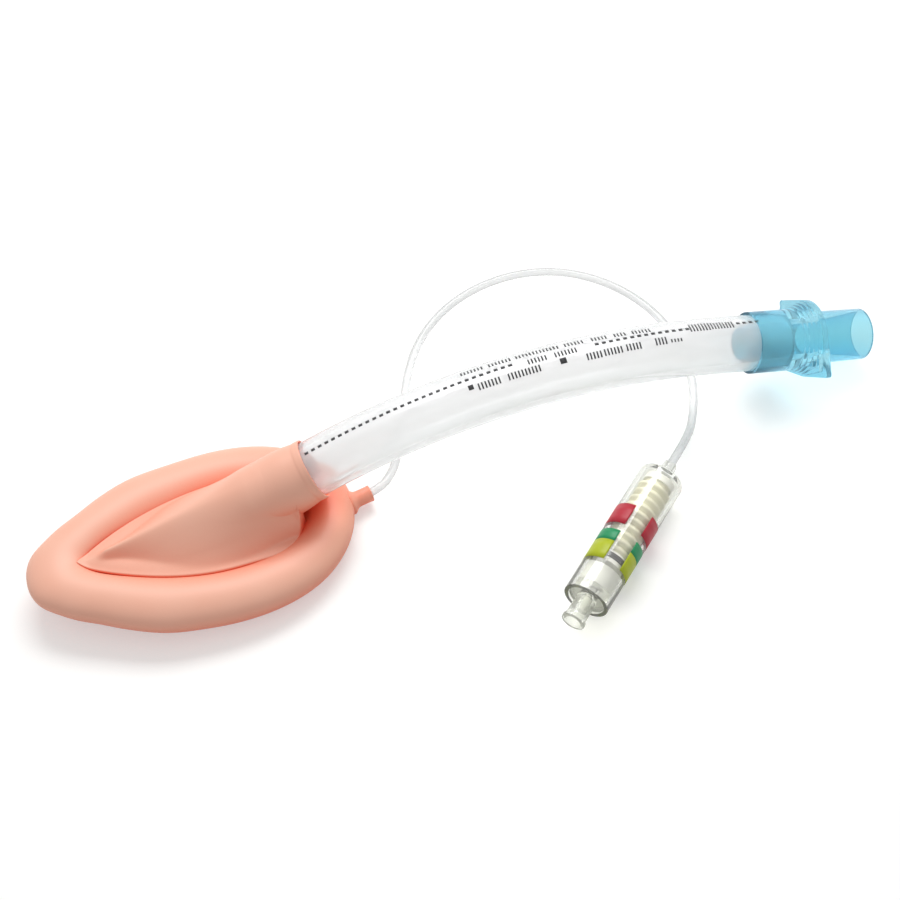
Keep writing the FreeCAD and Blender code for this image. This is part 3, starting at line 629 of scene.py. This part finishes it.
def leaf_half_width(x):
    """A pointed leaf: half width * sin(pi / 2 * share) ^ power from the tip to where it is widest, and
    an ellipse 13.4 long round the neck end."""
    share = np.clip((x - LEAF_TIP) / LEAF_WIDENING, 0.0, 1.0)
    round_end = np.clip((x - LEAF_ROUND_FROM) / (LEAF_NECK_END - LEAF_ROUND_FROM), 0.0, 1.0)
    return LEAF_HALF_WIDTH * np.sin(0.5 * np.pi * share) ** LEAF_POWER * np.sqrt(1.0 - round_end ** 2)


# %% The dome and the neck's sleeve over it
DOME_START = 8.5
DOME_LENGTH = 56.5
DOME_HALF_WIDTH = 13.4
DOME_TIP_HALF_WIDTH = 1.2
DOME_TIP_RISE = 1.6
DOME_WIDEST_AT = 0.34
DOME_TAPER_POWER = 1.35
DOME_HOLLOW = 4.2
RIDGE_POWER = 1.12
RIDGE_ROUNDING = 0.7
# Bells along the dome: height, place, width, the last two as shares of its length.
DOME_DIP = (0.7, 0.0, 0.13)
SHOULDERS = (1.3, 0.0, 0.36)
NECK_RADIUS = 9.65
NECK_AXIS_AT_DOME = 20.28
SLEEVE_SIDE_SLOPE = 6.0


def dome_height(x, y, inset=0.0):
    """(crest - foot) * (1 - |y / half width| ^ power): the foot's half-width swells and then tapers
    with the share of the way to the tip, and the power makes shoulders near the neck and a ridge
    beyond it. |y| is rounded by 0.7 mm at the ridge. The crest sags between its ends, and dips by
    0.7 mm under the neck. Past the tip the dome falls away."""
    share = (-DOME_START - x) / DOME_LENGTH
    near = np.clip(share / DOME_WIDEST_AT, 0.0, 1.0)
    far = np.clip((share - DOME_WIDEST_AT) / (1.0 - DOME_WIDEST_AT), 0.0, 1.0)
    swell = NECK_RADIUS + (DOME_HALF_WIDTH - NECK_RADIUS) * np.sin(0.5 * np.pi * near)
    narrowing = 0.5 * (1.0 + np.cos(np.pi * far ** DOME_TAPER_POWER))
    taper = DOME_TIP_HALF_WIDTH + (DOME_HALF_WIDTH - DOME_TIP_HALF_WIDTH) * narrowing
    half_width = np.where(share < DOME_WIDEST_AT, swell, taper) - inset
    high = NECK_AXIS_AT_DOME + NECK_RADIUS / math.cos(START_PITCH)
    low = leaf_height(-DOME_START - DOME_LENGTH) + DOME_TIP_RISE
    crest = high + (low - high) * share - DOME_HOLLOW * share * (1.0 - share) - inset
    crest = crest - bell(share, *DOME_DIP)
    power = RIDGE_POWER + bell(np.maximum(share, 0.0), *SHOULDERS)
    aside = np.sqrt(y ** 2 + 0.5) - RIDGE_ROUNDING
    rise = (crest - leaf_height(x)) * (1.0 - (np.abs(aside) / np.maximum(half_width, 0.8)) ** power)
    fade = (1.0 - smooth_step(share, 0.96, 1.10)) * smooth_step(share, -0.07, 0.03)
    return rise * fade - 1.5 * (1.0 - fade)


def sleeve_height(x, y):
    """The neck's top over its axis: axis height + sqrt(r^2 - y^2) / cos(pitch), which falls 6 in 1
    beside it. r shrinks beyond the tube's end, so that the neck sinks into the dome, and under the
    neck's own wall."""
    sinking = 5.3 * smooth_step(-x, 20.8, 38.0)
    r = NECK_RADIUS + 0.01 - sinking - 0.9 * smooth_step(x, -18.0, -7.0)
    level = NECK_AXIS_HEIGHT + x * math.tan(START_PITCH)
    over = np.sqrt(np.maximum(r ** 2 - y ** 2, 0.0)) / math.cos(START_PITCH)
    return level + over - SLEEVE_SIDE_SLOPE * np.maximum(np.abs(y) - r, 0.0)


# %% The plate's two faces
FACE_X = -18.09
FACE_Z = 17.07
DOME_WALL = 1.8


def leaf_grids(rows=280, columns=161):
    """Upper and lower faces over the leaf's plan, with more points near its outline: x = middle - half
    * cos(turn), y = half-width * sin(turn across). The edge is rounded by 0.5 mm and droops 0.6 mm.
    Below, the bowl is the dome set in by its wall, and ends at the plane of the tube's opening."""
    turn = np.linspace(0.03, np.pi - 0.03, rows)[:, None]
    across = np.sin(0.5 * np.pi * np.linspace(-1.0, 1.0, columns))[None, :]
    x = 0.5 * (LEAF_TIP + LEAF_NECK_END) + 0.5 * (LEAF_TIP - LEAF_NECK_END) * np.cos(turn) + 0.0 * across
    half_width = leaf_half_width(x)
    y = half_width * across
    edge = half_width * (1.0 - np.abs(across))
    droop = bell(edge, 0.6, 0.0, 2.5)
    inwards = 1.0 - np.clip(edge / EDGE_ROUNDING, 0.0, 1.0)
    rounding = EDGE_ROUNDING * (1.0 - np.sqrt(1.0 - inwards ** 2))
    tip_rise = bell(x, 1.1, LEAF_TIP, 2.0)
    merging = 0.3 + 0.9 * smooth_step(-x, 16.0, 28.0)
    relief = smooth_max(dome_height(x, y), sleeve_height(x, y) - leaf_height(x), merging)
    top = leaf_height(x) + smooth_max(relief, 0.0, 0.8) + tip_rise - droop - rounding
    wall = FACE_Z - (x - FACE_X) / math.tan(START_PITCH)
    underside = leaf_height(x) - LEAF_THICKNESS - 0.8 * smooth_step(x, -20.0, -8.0)
    bowl = underside + smooth_max(dome_height(x, y, DOME_WALL) + 0.6, 0.0, 1.2)
    low = np.maximum(np.minimum(bowl, wall), underside)
    low = np.minimum(low, top - 1.4)
    sideways = y + settle(x) * smooth_step(np.abs(across), 0.7, 1.0)
    return np.stack([x, sideways, top], -1), np.stack([x, sideways, low], -1)


# %% Neck, opening and bars
NECK_BORE = 8.17
NECK_BURIED_FROM = -17.8
RIM_RADIUS = 8.1
BAR_APART = 2.2
BAR_LENGTH = 17.4
BAR_RADIUS = 0.9


def neck_grid():
    """The neck's sleeve, turned about the tube: thin at its mouth, thicker to its shoulder, and then
    a little thinner where it is buried in the dome."""
    line = [(NECK_BORE, TUBE_START), (NECK_BORE, -2.6), (8.5, -1.5), (8.98, -1.5), (9.05, -3.4),
            (8.95, -3.9), (NECK_RADIUS, -8.5), (NECK_RADIUS, NECK_BURIED_FROM), (8.5, TUBE_START)]
    profile = rounded(line, [0.1, 0.3, 0.1, 0.3, 0.3, 0.3, 2.5, 0.1, 0.1], 5)
    centre, forward, upward = tube_frame(0.0)
    return turned(profile, centre, forward, upward, 128)


def opening_rim_grid():
    """A soft rim round the opening where the tube meets the bowl."""
    turn = np.linspace(0.0, 2.0 * np.pi, 16, endpoint=False)
    profile = np.stack([RIM_RADIUS + 0.75 * np.cos(turn), TUBE_START - 0.3 + 0.7 * np.sin(turn)], -1)
    centre, forward, upward = tube_frame(0.0)
    return turned(profile, centre, forward, upward, 96)


def bar_grid(side):
    """One of the two bars across the opening, from below it to above it."""
    centre, forward, upward = tube_frame(0.0)
    foot = centre + forward * (TUBE_START - 0.92) + ACROSS * (BAR_APART * side) - upward * 0.5 * BAR_LENGTH
    line = [(0.02, 0.0), (BAR_RADIUS, 0.0), (BAR_RADIUS, BAR_LENGTH), (0.02, BAR_LENGTH)]
    return turned(rounded(line, 0.2, ring=False), foot, upward, ACROSS, 24)


# %% Faces that other surfaces cover
def beside_axis(centres):
    """How far along the tube, and how far from its axis, each face's centre is."""
    centre, forward, _ = tube_frame(0.0)
    along = (centres - centre) @ forward
    return along, np.linalg.norm(centres - centre - along[:, None] * forward, axis=1)


def inside_neck(centres):
    """True for faces of the plate that would stand in the tube, or in the neck's own wall."""
    along, off = beside_axis(centres)
    in_tube = (off < RIM_RADIUS) & (along > TUBE_START - 0.35)
    in_wall = (off < 9.3) & (along > -9.0)
    return in_tube | in_wall


def inside_dome(centres):
    """True for faces of the sleeve's outside that the dome has covered."""
    along, off = beside_axis(centres)
    return (off > 8.4) & (along < NECK_BURIED_FROM + 0.1)


# %% Backplate
upper, lower = leaf_grids()
plate = [(slab(upper, lower), False, inside_neck), (neck_grid(), True, inside_dome),
         (opening_rim_grid(), True), (bar_grid(-1), False), (bar_grid(1), False)]
backplate = skin("mask_backplate_silicone", plate, SILICONE)
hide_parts("mask_backplate")

# %% [markdown]
# ## The airway tube
#
# The tube is thick-walled clear PVC. Its outer and inner walls are one skin that turns round at both
# ends, so that light really passes two walls, and the edges look darker than the middle, also
# because shade is painted along them.

# %% Airway tube
def tube_grid(columns=96):
    """The tube's radius along the outside, the bore's back along the inside, and the ends' edges
    broken by 0.3."""
    outside = np.linspace(TUBE_START + TUBE_EDGE, TUBE_END - TUBE_EDGE, 150)
    s = np.concatenate([outside, [TUBE_END, TUBE_END], outside[::-1], [TUBE_START, TUBE_START]])
    out = np.full(len(outside), TUBE_RADIUS)
    bore = np.full(len(outside), TUBE_BORE)
    far_end = [TUBE_RADIUS - TUBE_EDGE, TUBE_BORE + TUBE_EDGE]
    radius = np.concatenate([out, far_end, bore, far_end[::-1]])
    angle = np.linspace(0.0, 2.0 * np.pi, columns, endpoint=False)
    s, angle = np.meshgrid(s, angle, indexing="ij")
    return round_tube(s, angle, radius[:, None] + 0.0 * angle)


tube = skin("airway_tube_clear", [(tube_grid(), True)], TUBE_PVC)
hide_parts("airway_tube")

# %% [markdown]
# ## The print on the tube
#
# A dashed reference line runs along the top of the tube, and shows whether the mask has twisted.
# Plain ticks in short rows stand beside it. Each mark is a thin closed patch on the tube's surface,
# a few hundredths of a millimetre proud, as ink is. A patch needs no picture, and it stays sharp
# from any distance.

# %% Print marks
DASH_PITCH = 2.034
DASH_HALF_LENGTH = 0.55
DASH_HALF_WIDTH = 0.4
TICK_LENGTH = 0.42
TICK_PITCH = 0.95
# Dashes: first place along the tube, how many, angles from the top at the first and the last.
DASH_RUNS = [(0.2, 30, -6.0, 0.0), (83.4, 14, -3.0, -2.0), (126.0, 4, 2.0, 3.0)]
# The long row behind the dashes: start and end of each group. Its angle falls along the tube.
LONG_ROW = [(46.0, 52.0), (53.8, 59.6), (61.4, 73.0), (75.0, 80.6), (82.6, 87.0), (89.0, 92.4),
            (94.2, 99.6)]
# The other groups: start, end, angle from the top, height.
SHORT_ROWS = [(49.2, 55.6, -24.0, 2.0), (57.6, 66.6, -24.0, 2.0), (63.9, 69.6, -5.0, 1.7),
              (71.4, 77.6, -5.5, 1.7), (79.6, 83.4, -26.0, 2.0), (84.6, 89.8, -25.0, 2.0),
              (91.0, 95.6, -24.0, 2.0), (99.5, 102.6, -22.0, 2.2), (104.0, 107.4, -24.5, 1.0),
              (110.6, 116.6, 0.0, 2.8), (117.2, 124.4, 0.0, 2.4)]
# Two plain blocks: start, end and the two angles.
BLOCKS = [(46.6, 48.0, -25.0, -15.0), (72.2, 74.0, -28.0, -16.0)]


def mark(s_start, s_end, turn_start, turn_end):
    """A patch on the tube between two stations and two angles in degrees."""
    s, angle = np.meshgrid(np.linspace(s_start, s_end, 3),
                           np.radians(np.linspace(turn_start, turn_end, 4)), indexing="ij")
    proud = round_tube(s, angle, TUBE_RADIUS + 0.05 + 0.0 * s)
    sunk = round_tube(s, angle, TUBE_RADIUS - 0.02 + 0.0 * s)
    return slab(proud, sunk)


def dashes(start, count, turn_start, turn_end):
    """The reference line: dashes 1.1 mm long and 0.8 mm wide, whose angle drifts a little."""
    half = math.degrees(DASH_HALF_WIDTH / TUBE_RADIUS)
    marks = []
    for index in range(count):
        turn = turn_start + (turn_end - turn_start) * index / max(count - 1, 1)
        s = start + DASH_PITCH * index
        marks.append(mark(s - DASH_HALF_LENGTH, s + DASH_HALF_LENGTH, turn - half, turn + half))
    return marks


def ticks(start, end, turn_start, turn_end, height):
    """A row of upright ticks, whose angle may drift from the row's start to its end."""
    half = math.degrees(0.5 * height / TUBE_RADIUS)
    marks = []
    for s in np.arange(start, end, TICK_PITCH):
        turn = turn_start + (turn_end - turn_start) * (s - start) / (end - start)
        marks.append(mark(s, s + TICK_LENGTH, turn - half, turn + half))
    return marks


def long_row_turn(s):
    """The long row's angle from the top: 20 degrees at s = 46, falling by 0.21 degrees a millimetre."""
    return 20.0 - 0.21 * (s - 46.0)


marks = []
for run in DASH_RUNS:
    marks += dashes(*run)
for start, end in LONG_ROW:
    marks += ticks(start, end, long_row_turn(start), long_row_turn(end), 1.5)
for start, end, turn, height in SHORT_ROWS:
    marks += ticks(start, end, turn, turn, height)
for block in BLOCKS:
    marks.append(mark(*block))
tube_print = skin("airway_tube_print", [(grid, False) for grid in marks], PRINT_INK)

# %% [markdown]
# ## The circuit connector
#
# The blue connector is one moulding. Its outline round the axis changes from a plain circle on the
# barrel to a circle with two ears on the flange, in four steps that a thumb can push on. So it is a
# radius that depends on the angle and on the place along the axis, and a row of the surface is given
# by three numbers: the place, the circle's radius, and how far the ears reach.

# %% Connector outline
EAR_RADIUS = 0.9
SLEEVE_MOUTH = -10.9
SLEEVE_RADIUS = 9.0
SLEEVE_BORE = 8.17
SPIGOT_END = -13.6
SPIGOT_RADIUS = 5.53
SPIGOT_BORE = 4.63
STEPS = 4
STEPS_START = 2.8
STEP_PITCH = 1.2
FLANGE_BACK = 7.6
FLANGE_FRONT = 9.3
FLANGE_RADIUS = 11.3
FLANGE_REACH = 16.2
CONE_FOOT_RADIUS = 7.7575
CONE_MOUTH_RADIUS = 7.55
CONE_BORE = 6.4
CONE_END = 27.0
BORE_STEP = 10.4


def eared_radius(angle, radius, reach):
    """Distance from the axis to a circle with two small circles beside it, wrapped by tangents: the
    small circle near the ears, then radius / cos(angle - lean) along the tangent, then the circle."""
    from_ear = 0.5 * np.abs(np.angle(np.exp(2j * angle)))
    ear = np.maximum(reach - EAR_RADIUS, radius - EAR_RADIUS + 1e-6)
    lean = np.arccos(np.clip((radius - EAR_RADIUS) / ear, -1.0, 1.0))
    touch = np.arctan2(EAR_RADIUS * np.sin(lean), ear + EAR_RADIUS * np.cos(lean))
    depth = np.maximum(EAR_RADIUS ** 2 - (ear * np.sin(from_ear)) ** 2, 0.0)
    at_ear = ear * np.cos(from_ear) + np.sqrt(depth)
    tangent = radius / np.cos(np.minimum(from_ear, lean) - lean)
    eared = np.where(from_ear < touch, at_ear, np.where(from_ear < lean, tangent, radius))
    return np.where(reach > radius + 1e-6, eared, radius)


# %% Connector
def connector_grid(columns=288):
    """The rows run out along the outside, over the cone's mouth, back through the bore to the
    spigot's end, and out again through the sleeve to where they began. The columns crowd towards
    the ears as angle - 0.45 sin(2 angle)."""
    radius, reach = SLEEVE_RADIUS, SLEEVE_RADIUS
    rows = [(SLEEVE_MOUTH, radius, reach)]
    for step in range(STEPS):
        share = (step + 1.0) / (STEPS + 1.0)
        place = STEPS_START + STEP_PITCH * step
        rows.append((place, radius, reach))
        radius = SLEEVE_RADIUS + (FLANGE_RADIUS - SLEEVE_RADIUS) * share
        reach = SLEEVE_RADIUS + (FLANGE_REACH - SLEEVE_RADIUS) * share ** 2
        rows.append((place, radius, reach))
    rows += [(FLANGE_BACK, radius, reach), (FLANGE_BACK, FLANGE_RADIUS, FLANGE_REACH)]
    rows.append((FLANGE_FRONT, FLANGE_RADIUS, FLANGE_REACH))
    plain = [(FLANGE_FRONT, CONE_FOOT_RADIUS), (CONE_END, CONE_MOUTH_RADIUS), (CONE_END, CONE_BORE),
             (BORE_STEP, SPIGOT_BORE), (SPIGOT_END, SPIGOT_BORE), (SPIGOT_END, SPIGOT_RADIUS),
             (0.0, SPIGOT_RADIUS), (0.0, SLEEVE_BORE), (SLEEVE_MOUTH, SLEEVE_BORE)]
    rows += [(place, r, r) for place, r in plain]
    row = rounded(rows, 0.22, 3)[:, None, :]
    evenly = np.linspace(0.0, 2.0 * np.pi, columns, endpoint=False)[None, :]
    angle = evenly - 0.45 * np.sin(2.0 * evenly)
    distance = eared_radius(angle, row[..., 1], row[..., 2])[..., None]
    centre, forward, upward = tube_frame(TUBE_END)
    sideways = ACROSS * np.cos(angle)[..., None] + upward * np.sin(angle)[..., None]
    return centre + forward * row[..., 0][..., None] + sideways * distance


connector = skin("circuit_connector_blue", [(connector_grid(), True)], BLUE_PLASTIC)
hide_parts("circuit_connector")

# %% [markdown]
# ## The pressure indicator
#
# The indicator is a clear barrel on the line's end. In it an ivory bellows stands on a boss, closed by
# a white head with a black ring. Cuff pressure squeezes the bellows, and the ring moves back along the
# coloured fields printed on the barrel. w is the length along its axis from the line end.

# %% Indicator's place
PILOT_HEADING = math.radians(42.1)
PILOT_AXIS = np.array([-math.cos(PILOT_HEADING), -math.sin(PILOT_HEADING), 0.0])
PILOT_START = np.array([92.45, -27.32, 6.6]) + PILOT_AXIS * 1.0


def on_pilot(profile, columns=96):
    """A profile of (radius, w) turned about the indicator's axis."""
    return turned(profile, PILOT_START, PILOT_AXIS, UP, columns)


# %% Barrel
BARREL_RADIUS = 6.6
BARREL_END = 46.4

barrel_line = [
    (0.02, -1.0), (1.27, -1.0), (1.27, -5.2), (1.95, -5.2), (2.5, 0.0), (BARREL_RADIUS, 0.0),
    (BARREL_RADIUS, BARREL_END), (5.4, BARREL_END), (5.4, 1.6), (3.3, 1.6), (3.3, 5.2), (0.02, 5.2),
]
barrel_round = [0.0, 0.1, 0.2, 0.3, 0.8, 1.6, 0.25, 0.25, 0.4, 0.3, 0.3, 0.0]
barrel_grid = on_pilot(rounded(barrel_line, barrel_round, 6, False))
barrel = skin("pilot_barrel_clear", [(barrel_grid, False)], ACRYLIC)
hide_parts("pilot_barrel")

# %% [markdown]
# The bellows is moulded in thin ivory silicone with ten folds. Its cuff stays on the boss, so it is a
# piece of its own, and the folds squash towards it as the head is pushed in.

# %% Bellows
BELLOWS_START = 5.2
BELLOWS_END = 31.4
BELLOWS_FOLDS = 10
BELLOWS_WALL = 0.4
CREST_RADIUS = 4.95
CREST_HALF_FLAT = 0.35
ROOT_RADIUS = 3.6
BELLOWS_CUFF_RADIUS = 3.7


def folds(wall):
    """Crests and roots by turns along w, each crest with a short flat, set in by a wall's thickness."""
    pitch = (BELLOWS_END - BELLOWS_START) / BELLOWS_FOLDS
    line = [(BELLOWS_CUFF_RADIUS - wall, BELLOWS_START)]
    for fold in range(BELLOWS_FOLDS):
        middle = BELLOWS_START + pitch * (fold + 0.5)
        crest = CREST_RADIUS - wall
        line += [(crest, middle - CREST_HALF_FLAT), (crest, middle + CREST_HALF_FLAT)]
        line.append((ROOT_RADIUS - wall, BELLOWS_START + pitch * (fold + 1.0)))
    return line


fold_line = folds(0.0) + folds(BELLOWS_WALL)[::-1]
cuff_line = [(3.3, 2.0), (3.7, 2.0), (3.7, 5.2), (3.3, 5.2)]
bellows = skin("pressure_bellows_folds", [(on_pilot(rounded(fold_line, 0.4, 4)), True)], BELLOWS_RUBBER)
bellows_cuff = skin("pressure_bellows_cuff", [(on_pilot(rounded(cuff_line, 0.08)), True)], BELLOWS_RUBBER)
for piece in (bellows, bellows_cuff):
    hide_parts("pressure_bellows")
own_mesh(bellows)

# %% [markdown]
# A white head closes the bellows, and the black ring on it is what one reads against the scale. Both
# slide in the barrel as one body, so they ride on the indicator. They are round about the axis, so a
# turned profile gives each of them whole, with its edges broken.

# %% Head and ring
head_line = [(0.02, 31.4), (4.8, 31.4), (4.8, 32.1), (4.35, 32.1), (4.35, 33.7), (4.8, 33.7),
             (4.8, 35.0), (0.02, 35.0)]
head_grid = on_pilot(rounded(head_line, 0.15, 3, False))
head = skin("indicator_head_white", [(head_grid, False)], HEAD_PLASTIC, "indicator")
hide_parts("indicator_head")
ring_line = [(4.35, 32.1), (5.05, 32.1), (5.05, 33.7), (4.35, 33.7)]
ring_grid = on_pilot(rounded(ring_line, 0.12, 3))
ring = skin("indicator_ring_black", [(ring_grid, True)], RING_PLASTIC, "indicator")
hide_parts("indicator_ring")

# %% [markdown]
# The end cap plugs the barrel and carries the port for a syringe, which widens a little towards its
# mouth inside. Behind it a check valve holds the air in. The valve's cage, plunger and seal stay as
# the CAD has them. Only its spring is made again, as a wire carried along a helix, because it squashes
# when a syringe pushes the plunger in.

# %% End cap and port
cap_line = [
    (1.35, 42.8), (5.37, 42.8), (5.37, 45.8), (2.95, 45.8), (2.95, 52.4), (3.4, 52.8), (3.4, 53.8),
    (2.15, 53.8), (1.91, 45.8), (1.35, 45.8),
]
cap = skin("pilot_end_cap_clear", [(on_pilot(rounded(cap_line, 0.18, 3)), True)], CAP_ACRYLIC)
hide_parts("pilot_end_cap")

# %% Valve spring
SPRING_TURNS = 5.0
SPRING_RADIUS = 1.4
SPRING_START = 37.9
SPRING_LENGTH = 3.0
WIRE_RADIUS = 0.2


def spring_grid(columns=12):
    """A round wire carried along a helix of five turns, between the cage's floor and the plunger's
    head."""
    t = np.linspace(0.0, 1.0, 200)[:, None, None]
    round_axis = 2.0 * np.pi * SPRING_TURNS * t
    side = np.cross(PILOT_AXIS, UP)
    outward = UP * np.cos(round_axis) + side * np.sin(round_axis)
    centre = PILOT_START + PILOT_AXIS * (SPRING_START + SPRING_LENGTH * t) + SPRING_RADIUS * outward
    turn = np.linspace(0.0, 2.0 * np.pi, columns, endpoint=False)[None, :, None]
    return centre + WIRE_RADIUS * (outward * np.cos(turn) + PILOT_AXIS * np.sin(turn))


spring = skin("valve_spring_steel", [(spring_grid(), False)], SPRING_STEEL)
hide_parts("valve_spring")
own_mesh(spring)

# %% [markdown]
# The scale is printed on the barrel as three plain fields of colour, which leave a window in front of
# the top for the ring to be read. Each field is a thin patch bent round the barrel, like the print on
# the tube, so its edges are as crisp as ink and need no picture.

# %% Coloured fields of the scale
WINDOW_START = 2.0
WINDOW_END = 49.0
LABEL_TURNS = (WINDOW_END, WINDOW_START + 360.0)


def field(w_start, w_end):
    """A thin patch round the barrel between two places along it. It runs from the window's one side
    round to its other side, by the angle from the top towards the front."""
    w = np.linspace(w_start, w_end, 4)[:, None, None]
    angle = np.radians(np.linspace(*LABEL_TURNS, 64))[None, :, None]
    front = np.cross(UP, PILOT_AXIS)
    outward = UP * np.cos(angle) + front * np.sin(angle)
    base = PILOT_START + PILOT_AXIS * w
    return slab(base + (BARREL_RADIUS + 0.06) * outward, base + (BARREL_RADIUS - 0.02) * outward)


red = skin("scale_red_field", [(field(16.2, 23.2), False)], RED_INK)
green = skin("scale_green_field", [(field(25.6, 29.4), False)], GREEN_INK)
lime = skin("scale_lime_field", [(field(29.4, 35.9), False)], LIME_INK)

# %% [markdown]
# Four small pieces inside the indicator are right as the CAD has them, and hardly seen. They only get
# their finishes.

# %% Finishes of the CAD nodes that stay
for name, finish in (("bellows_clamp", CLAMP_PLASTIC), ("valve_cage", VALVE_PLASTIC),
                     ("valve_plunger", VALVE_PLASTIC), ("valve_seal", SEAL_RUBBER)):
    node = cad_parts[name]
    node.data.materials.clear()
    node.data.materials.append(finish)

# %% [markdown]
# ## The indicator's pieces
#
# The pieces of the indicator, at the line's far end, are gathered in a list.

pilot_pieces = [barrel, bellows, bellows_cuff, head, ring, cap, spring, red, green, lime]
pilot_pieces += ["bellows_clamp", "valve_cage", "valve_plunger", "valve_seal"]
